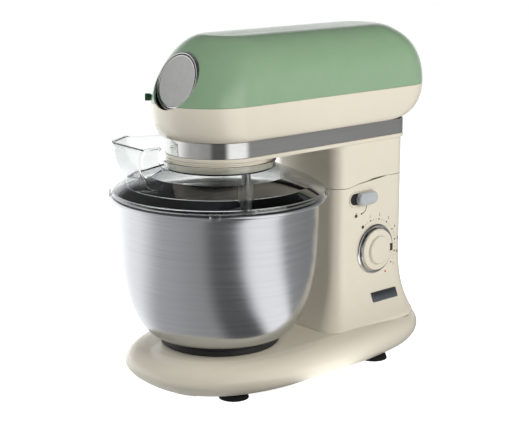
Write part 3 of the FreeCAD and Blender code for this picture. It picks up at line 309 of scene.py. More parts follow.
@dataclass(frozen=True)
class ClearFinish(Finish):
    """Clear moulded plastic, with a faint haze where it has been wiped."""

    ior: float = 1.49

    def decorate(self, wires: Wiring, colour, shader: bpy.types.Node) -> None:
        """Lets light through, and darkens the sheet where it is seen edge-on: partly the longer path
        through it, partly painted shade that draws dark outlines.
        """
        edge_on = wires.add("LayerWeight", {"Blend": 0.22}).outputs["Facing"]
        # Painted shade, in part: edge-on walls are tinted dark grey to draw dark outlines on the
        # clear sheet.
        painted_edge_shade = wires.add("Mix", {0: edge_on, 6: colour, 7: (0.30, 0.34, 0.35, 1)},
                         data_type="RGBA").outputs[2]
        wires.tree.links.new(painted_edge_shade, shader.inputs["Base Color"])
        shader.inputs["Transmission Weight"].default_value = 1.0
        shader.inputs["IOR"].default_value = self.ior


BOWL_LOW, BOWL_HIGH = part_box("bowl")
BOWL_AXIS = (BOWL_LOW + BOWL_HIGH) / 2
BOWL_AXIS.z = 0.0

MINT = Finish("mint_cover", paint(147, 178, 145), paint(144, 175, 142), (0.16, 0.24),
              coat=0.6, relief=0.000006)
CREAM = Finish("cream_shell", paint(235, 228, 211), paint(233, 226, 208), (0.22, 0.27),
               coat=0.5, relief=0.000006)
TRIM = Finish("brushed_trim", (0.66, 0.66, 0.65, 1), (0.58, 0.58, 0.57, 1), (0.07, 0.13),
              Effect.BRUSHED, 1400.0, 1.0, 0.000002, metallic=1.0)
BOWL_STEEL = SpunFinish("bowl_steel", (0.60, 0.61, 0.63, 1), (0.52, 0.53, 0.55, 1),
                        (0.15, 0.24), Effect.SPUN, 1600.0, 0.9, 0.000004, metallic=1.0,
                        brush=0.75, centre=tuple(BOWL_AXIS))
# Painted shade: the bowl's inside is the same steel as its outside, drawn much darker to stand in for
# the shade in the deep bowl.
BOWL_INSIDE_PAINTED_SHADE = SpunFinish("bowl_inside_painted_shade", (0.17, 0.20, 0.26, 1), (0.13, 0.16, 0.21, 1),
                         (0.14, 0.24), Effect.SPUN, 1600.0, 0.9, 0.000004, metallic=1.0,
                         brush=0.75, centre=tuple(BOWL_AXIS))
CHROME = Finish("chrome_trim", (0.80, 0.81, 0.82, 1), (0.76, 0.77, 0.78, 1), (0.05, 0.12),
                scale=500.0, relief=0.000003, metallic=1.0)
CLEAR = ClearFinish("clear_plastic", (0.97, 0.985, 0.98, 1), (0.95, 0.97, 0.965, 1),
                    (0.01, 0.05), relief=0.000003)
GREY = Finish("grey_plastic", paint(188, 194, 198), paint(180, 186, 190), (0.24, 0.34), coat=0.3)
DARK = Finish("dark_plastic", paint(38, 38, 40), paint(30, 30, 32), (0.42, 0.58),
              Effect.CAST, 1800.0, 1.0, 0.00004)
RUBBER = Finish("foot_rubber", paint(24, 24, 25), paint(16, 16, 17), (0.62, 0.85),
                Effect.CAST, 1200.0, 1.0, 0.00006)
# Painted shade: the release button is the cover's green, drawn much darker for the shade it sits in.
BUTTON_GREEN_PAINTED_SHADE = Finish("button_green", paint(48, 92, 66), paint(40, 82, 58), (0.25, 0.35))
CAST = Finish("cast_aluminium", (0.50, 0.51, 0.52, 1), (0.40, 0.41, 0.42, 1), (0.38, 0.58),
              Effect.CAST, 700.0, 1.1, 0.00008, metallic=1.0)
STEEL = Finish("steel", (0.50, 0.51, 0.52, 1), (0.42, 0.42, 0.43, 1), (0.24, 0.40),
               Effect.BRUSHED, 1500.0, 1.0, 0.000006, metallic=1.0)
NYLON = Finish("gear_nylon", paint(226, 220, 200), paint(216, 208, 186), (0.38, 0.50))
BRONZE = Finish("bronze", (0.52, 0.32, 0.14, 1), (0.40, 0.24, 0.10, 1), (0.35, 0.5),
                Effect.CAST, 2200.0, 1.0, 0.00003, metallic=1.0)
COPPER = Finish("copper", (0.62, 0.27, 0.13, 1), (0.45, 0.18, 0.08, 1), (0.28, 0.45),
                Effect.SPUN, 2600.0, 1.2, 0.00010, metallic=1.0)
BELT = Finish("belt_rubber", paint(30, 30, 32), paint(20, 20, 22), (0.6, 0.8),
              Effect.CAST, 1500.0, 1.0, 0.00005)
BOARD = Finish("board_green", paint(26, 84, 48), paint(20, 70, 40), (0.35, 0.5),
               Effect.CAST, 900.0, 1.0, 0.00002)
CARBON = Finish("carbon", paint(34, 34, 36), paint(22, 22, 24), (0.5, 0.7),
                Effect.CAST, 3000.0, 1.0, 0.00003)
BADGE = Finish("badge_metal", (0.36, 0.39, 0.43, 1), (0.28, 0.31, 0.35, 1), (0.26, 0.38),
               Effect.BRUSHED, 1800.0, 1.0, 0.000005, metallic=1.0)
INK = Finish("ink", paint(44, 42, 38), paint(56, 54, 50), (0.45, 0.6))
RED_INK = Finish("red_ink", paint(186, 70, 52), paint(170, 60, 46), (0.45, 0.6))
FINISHES = (MINT, CREAM, TRIM, BOWL_STEEL, CHROME, CLEAR, GREY, DARK, RUBBER, BUTTON_GREEN_PAINTED_SHADE, CAST,
            STEEL, NYLON, BRONZE, COPPER, BELT, BOARD, CARBON, BADGE)


# ---------------------------------------------------------------- shapes

def flat_rounded(half_width: float, front: float, rear: float, front_radius: float,
                 rear_radius: float, steps: int = 14, side_steps: int = 12) -> Outline:
    """A plan outline with straight sides and four round corners, about the bowl's axis.

    Args:
        half_width: How far the sides stand from the middle plane.
        front: The nose's Y.
        rear: The rear's Y.
        front_radius: The two front corners' radius.
        rear_radius: The two rear corners' radius.
        steps: Points round each corner.
        side_steps: Points along each side.

    Returns:
        The outline's points at Z = 0, the same number for every size.
    """
    fore = min(front_radius, half_width - 0.05 * MM)
    aft = min(rear_radius, half_width - 0.05 * MM)
    corners = (
        (half_width - fore, front + fore, fore, -90, 0),
        (half_width - aft, rear - aft, aft, 0, side_steps),
        (aft - half_width, rear - aft, aft, 90, 2),
        (fore - half_width, front + fore, fore, 180, side_steps),
    )
    points: Outline = []
    for x, y, radius, start, lead in corners:
        arc = [Vector((x + radius * math.cos(math.radians(start + 90 * step / steps)),
                       y + radius * math.sin(math.radians(start + 90 * step / steps)), 0.0))
               for step in range(steps + 1)]
        if lead and points:
            points += [points[-1].lerp(arc[0], step / lead) for step in range(1, lead)]
        points += arc
    return points


def at_height(outline: Outline, height) -> Outline:
    """Lifts an outline to a height, or to a height that depends on the point's Y."""
    lift = height if callable(height) else (lambda y: height)
    return [Vector((point.x, point.y, lift(point.y))) for point in outline]


def curve_through(knots: Sequence[tuple], at: float) -> list[float]:
    """Reads a smooth curve through knots, each a place followed by its values.

    Args:
        knots: The knots in rising order of place.
        at: The place wanted.

    Returns:
        The values there.
    """
    index = max(0, min(len(knots) - 2, sum(1 for knot in knots[1:] if knot[0] <= at)))
    before, start, end, after = (knots[max(0, min(len(knots) - 1, index + step))]
                                 for step in (-1, 0, 1, 2))
    width = end[0] - start[0]
    part = min(max((at - start[0]) / width, 0.0), 1.0)
    values = []
    for item in range(1, len(start)):
        lead = (end[item] - before[item]) / (end[0] - before[0]) * width
        trail = (after[item] - start[item]) / (after[0] - start[0]) * width
        square, cube = part ** 2, part ** 3
        values.append((2 * cube - 3 * square + 1) * start[item] + (cube - 2 * square + part) * lead
                      + (3 * square - 2 * cube) * end[item] + (cube - square) * trail)
    return values


def first_loop(mesh: bmesh.types.BMesh, outline: Outline) -> Loop:
    """Starts a skin with a ring of edges laid along an outline."""
    verts = bmesh.ops.create_circle(mesh, cap_ends=False, segments=len(outline),
                                    radius=1.0)["verts"]
    for vert, point in zip(verts, outline):
        vert.co = point
    return list(verts)


def next_loop(mesh: bmesh.types.BMesh, loop: Loop, outline: Outline) -> Loop:
    """Extrudes a loop's edges and lays the new loop along an outline."""
    edges = [mesh.edges.get((loop[index - 1], loop[index])) for index in range(len(loop))]
    grown = bmesh.ops.extrude_edge_only(mesh, edges=edges)["geom"]
    fresh = {item for item in grown if isinstance(item, bmesh.types.BMVert)}
    loop = [next(edge.other_vert(vert) for edge in vert.link_edges
                 if edge.other_vert(vert) in fresh) for vert in loop]
    for vert, point in zip(loop, outline):
        vert.co = point
    return loop


def skin(outlines: Sequence[Outline], low_cap: bool = False,
         high_cap: bool = False) -> bmesh.types.BMesh:
    """A skin drawn from outline to outline.

    Args:
        outlines: The outlines, with equal numbers of points.
        low_cap: Closes the first outline.
        high_cap: Closes the last outline.

    Returns:
        The mesh, its faces outwards.
    """
    mesh = bmesh.new()
    loop = first_loop(mesh, outlines[0])
    if low_cap:
        mesh.faces.new(loop)
    for outline in outlines[1:]:
        loop = next_loop(mesh, loop, outline)
    if high_cap:
        mesh.faces.new(loop)
    bmesh.ops.remove_doubles(mesh, verts=mesh.verts, dist=0.001 * MM)
    bmesh.ops.recalc_face_normals(mesh, faces=mesh.faces)
    return mesh


@dataclass(frozen=True)
class Corner:
    """A corner of a turned section: how far out, how high, and how round."""

    out: float
    high: float
    round: float = 0.0


def rounded(corners: Sequence[Corner], closed: bool, steps: int = 5) -> list[tuple]:
    """Draws a section through its corners, with an arc at each round one.

    Args:
        corners: The section's corners in order.
        closed: Whether the last corner joins the first.
        steps: Points along each arc, less one.

    Returns:
        The section's points as pairs of radius and height.
    """
    points = []
    count = len(corners)
    for index, corner in enumerate(corners):
        here = Vector((corner.out, corner.high))
        if not corner.round or (not closed and index in (0, count - 1)):
            points.append(tuple(here))
            continue
        before, after = corners[index - 1], corners[(index + 1) % count]
        back = (Vector((before.out, before.high)) - here).normalized()
        ahead = (Vector((after.out, after.high)) - here).normalized()
        half = back.angle(ahead) / 2
        reach = corner.round / math.tan(half)
        centre = here + (back + ahead).normalized() * (corner.round / math.sin(half))
        start, end = here + back * reach - centre, here + ahead * reach - centre
        for step in range(steps + 1):
            spoke = start.slerp(end, step / steps).normalized() * corner.round
            points.append(tuple(centre + spoke))
    return points


def turned(corners: Sequence[Corner], steps: int = 96, closed: bool = True,
           frame_matrix: Optional[Matrix] = None) -> bmesh.types.BMesh:
    """Spins a section round the Z axis, then carries it into place.

    Args:
        corners: The section's corners.
        steps: Faces round the full turn.
        closed: Whether the section is a closed ring.
        frame_matrix: Where the turned axis goes, if not upright about the bowl's axis.

    Returns:
        The mesh, its faces outwards.
    """
    mesh = bmesh.new()
    verts = [mesh.verts.new((out, 0.0, high)) for out, high in rounded(corners, closed)]
    pairs = list(zip(verts, verts[1:] + verts[:1])) if closed else list(zip(verts, verts[1:]))
    edges = [mesh.edges.new(pair) for pair in pairs]
    bmesh.ops.spin(mesh, geom=verts + edges, cent=(0, 0, 0), axis=(0, 0, 1), angle=FULL_TURN,
                   steps=steps, use_merge=True)
    bmesh.ops.remove_doubles(mesh, verts=mesh.verts, dist=0.002 * MM)
    bmesh.ops.dissolve_degenerate(mesh, edges=mesh.edges, dist=0.001 * MM)
    bmesh.ops.recalc_face_normals(mesh, faces=mesh.faces)
    if frame_matrix:
        bmesh.ops.transform(mesh, matrix=frame_matrix, verts=mesh.verts)
    return mesh


def disc(radius: float, low: float, high: float, edge: float, **more) -> bmesh.types.BMesh:
    """A turned disc with softened edges."""
    return turned((Corner(0.0, low), Corner(radius, low, edge), Corner(radius, high, edge),
                   Corner(0.0, high)), closed=False, **more)


def plate(outline: Outline, thick: float, edge: float, edge_steps: int = 3) -> bmesh.types.BMesh:
    """A flat plate raised from its outline, its upper edge rounded.

    Args:
        outline: The plate's outline at Z = 0.
        thick: How far it is raised.
        edge: The upper edge's radius.
        edge_steps: Faces across that radius.

    Returns:
        The mesh, standing on Z = 0.
    """
    mesh = bmesh.new()
    floor = mesh.faces.new(first_loop(mesh, outline))
    grown = bmesh.ops.extrude_face_region(mesh, geom=[floor], use_keep_orig=True)["geom"]
    top = [item for item in grown if isinstance(item, bmesh.types.BMVert)]
    bmesh.ops.translate(mesh, vec=(0, 0, thick), verts=top)
    upper = [item for item in grown if isinstance(item, bmesh.types.BMEdge)]
    bmesh.ops.bevel(mesh, geom=upper, offset=edge, offset_type="OFFSET", segments=edge_steps,
                    profile=0.5, affect="EDGES", material=-1)
    bmesh.ops.recalc_face_normals(mesh, faces=mesh.faces)
    return mesh


def pill_outline(length: float, width: float, steps: int = 20) -> Outline:
    """A pill's outline about the origin, its long way along X."""
    radius, shift = width / 2, (length - width) / 2
    return [Vector((math.copysign(shift, math.cos(turn)) + radius * math.cos(turn),
                    radius * math.sin(turn), 0.0))
            for turn in (FULL_TURN * (step + 0.5) / (2 * steps) for step in range(2 * steps))]


def merge_in(mesh: bmesh.types.BMesh, other: bmesh.types.BMesh) -> None:
    """Adds another mesh's faces to a mesh and frees the other."""
    carrier = bpy.data.meshes.new("carrier")
    other.to_mesh(carrier)
    other.free()
    mesh.from_mesh(carrier)
    bpy.data.meshes.remove(carrier)


def facing(point: Vector, outward: Vector, upward: Vector = Vector((0, 0, 1))) -> Matrix:
    """A frame at a point whose Z axis points outward and whose Y axis is as near upward as can be."""
    out = outward.normalized()
    right = upward.cross(out).normalized()
    up = out.cross(right)
    turn = Matrix((right, up, out)).transposed().to_4x4()
    return Matrix.Translation(point) @ turn


# ---------------------------------------------------------------- pieces

@dataclass
class Assembly:
    """A sub-assembly: it draws its pieces about the bowl's axis and hands them to the frame.

    Attributes:
        body: The CAD body that its pieces move with.
    """

    body: str

    def piece(self, name: str, mesh: bmesh.types.BMesh, finish: Finish,
              stands_for: Sequence[str] = (), wall: float = 0.0, crease: float = 35.0,
              body: Optional[str] = None, upright: bool = True) -> bpy.types.Object:
        """Makes a finished, dressed object from a mesh.

        Args:
            name: The piece's name.
            mesh: Its mesh about the bowl's axis, which is freed.
            finish: Its finish.
            stands_for: The CAD nodes that it is shown instead of.
            wall: A sheet's thickness, set inwards; 0 for a solid.
            crease: Edges sharper than this angle in degrees stay sharp.
            body: The body it rides on, if not the assembly's own.
            upright: Whether the mesh still has to be carried to the bowl's axis.

        Returns:
            The object.
        """
        if upright:
            bmesh.ops.translate(mesh, vec=BOWL_AXIS, verts=mesh.verts)
        if wall:
            thicken(mesh, wall)
        for face in mesh.faces:
            face.smooth = True
        for edge in mesh.edges:
            edge.smooth = edge.calc_face_angle(0.0) < math.radians(crease)
        data = bpy.data.meshes.new(name)
        mesh.to_mesh(data)
        mesh.free()
        made = bpy.data.objects.new(name, data)
        bpy.context.scene.collection.objects.link(made)
        data.materials.append(finish.material())
        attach(made, body or self.body)
        if stands_for:
            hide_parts(*stands_for)
        LOG.info("%s: %d faces on %s", name, len(data.polygons), body or self.body)
        return made


def thicken(mesh: bmesh.types.BMesh, wall: float) -> None:
    """Gives an open skin a wall of even thickness on its inner side."""
    bmesh.ops.solidify(mesh, geom=list(mesh.faces), thickness=wall)


def joined(outer: bmesh.types.BMesh, other: bmesh.types.BMesh,
           operation: str = "UNION") -> bmesh.types.BMesh:
    """Unites two closed meshes, or cuts the second out of the first.

    Args:
        outer: The first mesh, which is freed.
        other: The second mesh, which is freed.
        operation: UNION or DIFFERENCE.

    Returns:
        The result as a new mesh.
    """
    holders = []
    for mesh in (outer, other):
        data = bpy.data.meshes.new("operand")
        mesh.to_mesh(data)
        mesh.free()
        holder = bpy.data.objects.new("operand", data)
        bpy.context.scene.collection.objects.link(holder)
        holders.append(holder)
    change = holders[0].modifiers.new("joined", "BOOLEAN")
    change.object, change.operation, change.solver = holders[1], operation, "EXACT"
    bpy.context.view_layer.update()
    shape = holders[0].evaluated_get(bpy.context.evaluated_depsgraph_get())
    result = bmesh.new()
    result.from_mesh(bpy.data.meshes.new_from_object(shape))
    for holder in holders:
        data = holder.data
        bpy.data.objects.remove(holder)
        bpy.data.meshes.remove(data)
    bmesh.ops.remove_doubles(result, verts=result.verts, dist=0.002 * MM)
    bmesh.ops.dissolve_degenerate(result, edges=result.edges, dist=0.001 * MM)
    bmesh.ops.recalc_face_normals(result, faces=result.faces)
    return result


# ---------------------------------------------------------------- base and column

@dataclass
class Base(Assembly):
    """The pillow-shaped base and the column that grows out of its rear."""

    half_width: float = 105 * MM
    front: float = 108 * MM
    rear: float = 283 * MM
    middle_y: float = 45 * MM
    edge_z: float = 7 * MM
    deck_z: float = 41.5 * MM
    column_half_width: float = 56 * MM
    column_front: float = 132 * MM
    column_rear: float = 248 * MM
    column_span: float = 170.5 * MM
    flare_side: float = 24 * MM
    flare_front: float = 34 * MM
    flare_rear: float = 12 * MM
    hinge_y: float = 236 * MM
    behind_drop: float = 8 * MM
    wall: float = 2.6 * MM
    levels: int = 26

    # Share of the height, inset of the sides, inset of the nose in millimetres.
    pillow = ((0.0, 6, 13), (0.16, 2, 6), (0.4, 0, 0), (0.62, 1.5, 1.5), (0.8, 6, 6),
              (0.93, 13, 13), (1.0, 22, 22))
    # The seam between column and neck: Y and height in millimetres.
    seam = ((136, 202), (150, 202.6), (172, 206.5), (195, 209.1), (236, 209.5))

    def plan(self, side: float, nose: float, points: int = 160) -> Outline:
        """The base's outline: a blunt nose and a squarer rear, drawn in by two insets."""
        width = self.half_width - side
        outline = []
        for turn in (FULL_TURN * step / points for step in range(points)):
            c, s = math.cos(turn), math.sin(turn)
            power, reach = ((3.0, self.rear - side - self.middle_y) if s > 0
                            else (2.4, self.front - nose + self.middle_y))
            outline.append(Vector((width * math.copysign(abs(c) ** (2 / power), c),
                                   self.middle_y + reach * math.copysign(abs(s) ** (2 / power), s),
                                   0.0)))
        return outline

    def pillow_block(self, inset: float, low: float, high: float) -> bmesh.types.BMesh:
        """The base as a closed block, drawn in by inset."""
        outlines = []
        for step in range(self.levels + 1):
            part = math.sin(math.pi / 2 * step / self.levels)
            side, nose = curve_through(self.pillow, part)
            outlines.append(at_height(self.plan(side * MM + inset, nose * MM + inset),
                                      low + (high - low) * part))
        return skin(outlines, True, True)

    def flare(self, height: float) -> float:
        """The share of the foot's flare that is left at a height."""
        return (1 - min(max((height - self.deck_z) / self.column_span / 0.5, 0.0), 1.0)) ** 3

    def side_x(self, height: float) -> float:
        """Where the column's side is at a height."""
        return self.column_half_width + self.flare_side * self.flare(height)

    def seam_z(self, y: float) -> float:
        """The seam's height at a place along the machine."""
        if y <= self.seam[0][0] * MM:
            return self.seam[0][1] * MM
        if y >= self.hinge_y:
            fall = (y - self.hinge_y) / (self.column_rear - self.hinge_y)
            return self.seam[-1][1] * MM - self.behind_drop * fall
        return curve_through(self.seam, y / MM)[0] * MM

    def column_plan(self, flare: float, inset: float) -> Outline:
        """The column's outline for a share of its flare."""
        return flat_rounded(self.column_half_width + self.flare_side * flare - inset,
                            self.column_front - self.flare_front * flare + inset,
                            self.column_rear + self.flare_rear * flare - inset,
                            (18 + 4 * flare) * MM - inset, (20 + 18 * flare) * MM - inset,
                            side_steps=24)

    def column_block(self, inset: float, low: float, above: float) -> bmesh.types.BMesh:
        """The column as a closed block that ends above the seam by a given height."""
        middle = self.deck_z + self.column_span / 2
        outlines = []
        for step in range(self.levels + 1):
            height = low + (middle - low) * (step / self.levels) ** 1.5
            outlines.append(at_height(self.column_plan(self.flare(height), inset), height))
        upper = self.column_plan(0.0, inset)
        for share in (0.35, 0.7, 0.97, 1.0):
            outlines.append(at_height(
                upper, lambda y: middle + (self.seam_z(y) + above - middle) * share))
        return skin(outlines, True, True)

    def shell(self) -> None:
        """The one-piece moulding of base and column, open below and at the seam."""
        outer = joined(self.pillow_block(0.0, self.edge_z, self.deck_z),
                       self.column_block(0.0, self.deck_z - 3 * MM, 0.0))
        inner = joined(self.pillow_block(self.wall, self.edge_z - 0.5 * MM,
                                         self.deck_z - self.wall),
                       self.column_block(self.wall, self.deck_z - 6 * MM, 5 * MM))
        self.piece("base_shell_moulding", joined(outer, inner, "DIFFERENCE"), CREAM,
                   ["base_shell"])

    def seat(self) -> None:
        """Works out the section of the dark seat that the bowl locks into, with its lead-in, and only
        logs it.
        """
        low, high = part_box("bowl_seat")
        radius = (high.x - low.x) / 2
        section = (Corner(radius - 12 * MM, low.z + 2 * MM), Corner(radius, low.z + 2 * MM),
                   Corner(radius, high.z, 0.8 * MM), Corner(radius - 12 * MM, high.z, 0.5 * MM))
        LOG.debug("seat section %s", section)

    def build(self) -> None:
        """Builds the base's own pieces."""
        self.shell()


# ---------------------------------------------------------------- head

@dataclass
class Head(Assembly):
    """The two-tone head: covers, trim band, neck, collar and the hub in its nose."""

    band_low: float = 258.7 * MM
    band_high: float = 276.1 * MM
    cover_low: float = 276.3 * MM
    split_z: float = 315 * MM
    top_z: float = 386 * MM
    lip_low: float = 254 * MM
    lip_high: float = 258.5 * MM
    band_half_width: float = 58.4 * MM
    head_rear: float = 250 * MM
    neck_half_width: float = 56 * MM
    neck_front: float = 132 * MM
    neck_rear: float = 248 * MM
    neck_gap: float = 0.8 * MM
    web: float = 10 * MM
    wall: float = 2.6 * MM
    edge: float = 0.7 * MM
    hub_y: float = -57.6 * MM
    hub_z: float = 340 * MM
    hub_tilt: float = 19.5
    hub_radius: float = 30 * MM
    boss_radius: float = 33.4 * MM
    collar_radius: float = 58.7 * MM
    collar_low: float = 241.6 * MM
    levels: int = 30

    def plan(self, half_width: float, front: float, rear: float) -> Outline:
        """The head's outline: a round nose and a squarer rear."""
        nose = half_width - 1.5 * MM
        return flat_rounded(half_width, -front, rear, nose, min(nose, 44 * MM), steps=22,
                            side_steps=16)

    def lower_plan(self, part: float, inset: float) -> Outline:
        """The side cover's outline at a share of its height."""
        swell = math.sqrt(max(0.0, 1 - (1 - part) ** 2))
        return self.plan((58.8 + 7.2 * swell) * MM - inset, (59.7 + 15.3 * swell) * MM - inset,
                         (250 + 38 * swell) * MM - inset)

    def upper_plan(self, part: float, inset: float) -> Outline:
        """The top cover's outline at a share of its height."""
        def bulge(power: float) -> float:
            """A superellipse's width at this share of its height."""
            return max(0.0, 1 - part ** power) ** (1 / power)
        return self.plan((20 + 46 * bulge(2.5)) * MM - inset, (14 + 61 * bulge(1.5)) * MM - inset,
                         (231 + 57 * bulge(2.2)) * MM - inset)

    def edge_steps(self) -> list[tuple[float, float]]:
        """A rounded edge as pairs of height and inset, from the parting face."""
        return [(self.edge * (1 - math.cos(turn)), self.edge * (1 - math.sin(turn)))
                for turn in (math.pi / 2 * step / 3 for step in range(4))]

    def lower_block(self, inset: float, drop: float) -> bmesh.types.BMesh:
        """The side cover as a closed block."""
        span = self.split_z - self.cover_low
        outlines = []
        for rise, back in self.edge_steps():
            outlines.append(at_height(self.lower_plan(rise / span, inset + back),
                                      self.cover_low + rise - drop))
        for step in range(1, 13):
            part = step / 13
            outlines.append(at_height(self.lower_plan(part, inset), self.cover_low + span * part))
        for rise, back in reversed(self.edge_steps()):
            outlines.append(at_height(self.lower_plan(1 - rise / span, inset + back),
                                      self.split_z - rise + drop))
        return skin(outlines, True, True)

    def upper_block(self, inset: float, drop: float) -> bmesh.types.BMesh:
        """The top cover as a closed block."""
        span = self.top_z - self.split_z
        outlines = []
        for rise, back in self.edge_steps():
            outlines.append(at_height(self.upper_plan(rise / span, inset + back),
                                      self.split_z + rise - drop))
        for step in range(1, self.levels + 1):
            part = math.sin(math.pi / 2 * step / self.levels)
            if part * span <= self.edge * 1.5:
                continue
            outlines.append(at_height(self.upper_plan(part, inset),
                                      self.split_z + (span - inset) * part))
        return skin(outlines, True, True)

    def hub_frame(self) -> Matrix:
        """The frame of the hub's face, its Z axis outwards."""
        tilt = math.radians(self.hub_tilt)
        return facing(Vector((0, self.hub_y, self.hub_z)),
                      Vector((0, -math.cos(tilt), math.sin(tilt))))

    def boss(self, above: bool) -> bmesh.types.BMesh:
        """The half of the hub's boss that lies above or below the split."""
        mesh = disc(self.boss_radius, -46 * MM, -2.6 * MM, 0.9 * MM, steps=120,
                    frame_matrix=self.hub_frame())
        side = 1 if above else -1
        cut = bmesh.ops.bisect_plane(
            mesh, geom=mesh.verts[:] + mesh.edges[:] + mesh.faces[:],
            plane_co=(0, 0, self.split_z + side * 0.15 * MM), plane_no=(0, 0, -side),
            clear_outer=True)["geom_cut"]
        edges = [item for item in cut if isinstance(item, bmesh.types.BMEdge)]
        bmesh.ops.contextual_create(mesh, geom=edges)
        bmesh.ops.recalc_face_normals(mesh, faces=mesh.faces)
        return mesh

    def hub_bore(self) -> bmesh.types.BMesh:
        """The round hole that the hub's socket and bezel stand in."""
        return disc(self.hub_radius + 3.3 * MM, -9 * MM, 20 * MM, 0.0, steps=120,
                    frame_matrix=self.hub_frame())

    def covers(self) -> None:
        """The cream side cover and the green top cover."""
        lower = joined(joined(self.lower_block(0.0, 0.0), self.boss(False)),
                       self.lower_block(self.wall, 0.6 * MM), "DIFFERENCE")
        self.piece("head_side_moulding", joined(lower, self.hub_bore(), "DIFFERENCE"), CREAM,
                   ["head_side_cover"])
        upper = joined(joined(self.upper_block(0.0, 0.0), self.boss(True)),
                       self.upper_block(self.wall, 0.6 * MM), "DIFFERENCE")
        self.piece("head_top_moulding", joined(upper, self.hub_bore(), "DIFFERENCE"), MINT,
                   ["head_top_cover"])

    def band(self) -> None:
        """The brushed metal band between lip and side cover."""
        half, soft = self.band_half_width, 0.4 * MM
        outlines = []
        for height, inset in ((self.band_low, soft), (self.band_low + soft, 0.0),
                              (self.band_high - soft, 0.0), (self.band_high, soft)):
            outlines.append(at_height(
                flat_rounded(half - inset, -half - 0.3 * MM + inset, 248.6 * MM - inset,
                             half - 0.1 * MM, 20 * MM, steps=24, side_steps=20), height))
        mesh = skin(outlines)
        self.piece("trim_band_strip", mesh, TRIM, ["trim_band"], wall=1.4 * MM)

    def neck_block(self, inset: float, low: float, base: Base) -> bmesh.types.BMesh:
        """The neck as a closed block from the seam to the lip, webbed out in front."""
        bottom = base.seam_z
        outlines = []
        for part in (0.0, 0.3, 0.6, 0.78, 0.84, 0.89, 0.93, 0.96, 0.985, 1.0):
            share = max(0.0, (part - 0.78) / 0.22)
            web = 0.0 if inset else self.web * (1 - math.sqrt(1 - share ** 2))
            outline = flat_rounded(self.neck_half_width - inset, self.neck_front - web + inset,
                                   self.neck_rear - inset, 18 * MM - inset, 20 * MM - inset,
                                   side_steps=24)
            outlines.append(at_height(
                outline, lambda y: (bottom(y) + low) * (1 - part)
                + (self.lip_low + 0.4 * MM) * part))
        return skin(outlines, True, True)

    def neck(self, base: Base) -> None:
        """The lip under the band, with the neck that reaches down to the column."""
        half, soft = self.band_half_width + 0.4 * MM, 1.0 * MM
        outlines = []
        for height, inset in ((self.lip_low, soft), (self.lip_low + 0.3 * soft, 0.3 * soft),
                              (self.lip_low + soft, 0.0), (self.lip_high - 0.5 * soft, 0.0),
                              (self.lip_high, 0.5 * soft)):
            outlines.append(at_height(
                flat_rounded(half - inset, -half - 0.3 * MM + inset, 249 * MM - inset,
                             half - 0.1 * MM, 20 * MM, steps=24, side_steps=20), height))
        lip = skin(outlines, True, True)
        outer = joined(lip, self.neck_block(0.0, self.neck_gap, base))
        inner = self.neck_block(self.wall, -3 * MM, base)
        self.piece("neck_moulding", joined(outer, inner, "DIFFERENCE"), CREAM,
                   ["head_under_cover"])

    def collar(self) -> None:
        """The round collar under the nose, with a fine groove below the lip."""
        out, low, top = self.collar_radius, self.collar_low, self.lip_low - 0.1 * MM
        groove = top - 2.6 * MM
        section = (Corner(52.2 * MM, low, 0.8 * MM), Corner(out, low, 1.6 * MM),
                   Corner(out, groove - 1.0 * MM, 0.3 * MM),
                   Corner(out - 0.9 * MM, groove - 0.6 * MM, 0.2 * MM),
                   Corner(out - 0.9 * MM, groove + 0.6 * MM, 0.2 * MM),
                   Corner(out, groove + 1.0 * MM, 0.3 * MM), Corner(out, top, 0.5 * MM),
                   Corner(52.2 * MM, top))
        self.piece("nose_collar_ring", turned(section, steps=128), CREAM, ["nose_collar"])

    def hub(self) -> None:
        """The bezel round the hub, and the brushed cap that pulls off."""
        radius, place = self.hub_radius, self.hub_frame()
        bezel = (Corner(radius + 0.4 * MM, -2.5 * MM), Corner(radius + 3.2 * MM, -2.5 * MM),
                 Corner(radius + 3.2 * MM, -2.0 * MM, 0.2 * MM),
                 Corner(radius + 2.1 * MM, -2.0 * MM, 0.2 * MM),
                 Corner(radius + 2.1 * MM, 0.0, 0.7 * MM), Corner(radius + 0.4 * MM, 0.0, 0.5 * MM))
        self.piece("hub_bezel_ring", turned(bezel, steps=120, frame_matrix=place), CHROME,
                   ["hub_bezel"])
        cap = (Corner(0.0, -2.4 * MM), Corner(radius, -2.4 * MM, 0.3 * MM),
               Corner(radius, -0.3 * MM, 0.6 * MM), Corner(radius - 1.6 * MM, 0.0, 0.3 * MM),
               Corner(radius - 2.2 * MM, -0.3 * MM, 0.3 * MM), Corner(0.0, -0.3 * MM))
        face = turned(cap, steps=120, closed=False, frame_matrix=place)
        plug = (Corner(14.6 * MM, -12 * MM, 0.4 * MM), Corner(16.6 * MM, -12 * MM, 0.4 * MM),
                Corner(16.6 * MM, -2.3 * MM), Corner(14.6 * MM, -2.3 * MM))
        merge_in(face, turned(plug, steps=64, frame_matrix=place))
        self.piece("hub_cap_disc", face, TRIM, ["hub_cap"], body="hub_cap")

    def build(self, base: Base) -> None:
        """Builds the head's own pieces."""
        self.covers()
        self.band()
        self.neck(base)
        self.collar()
        self.hub()


# ---------------------------------------------------------------- bowl and guard

def offset_line(points: Sequence[tuple], distance: float) -> list[tuple]:
    """Shifts an open section to its left side by a distance."""
    shifted = []
    for index, point in enumerate(points):
        before = Vector(points[max(0, index - 1)])
        after = Vector(points[min(len(points) - 1, index + 1)])
        along = (after - before).normalized()
        shifted.append((point[0] - along.y * distance, point[1] + along.x * distance))
    return shifted


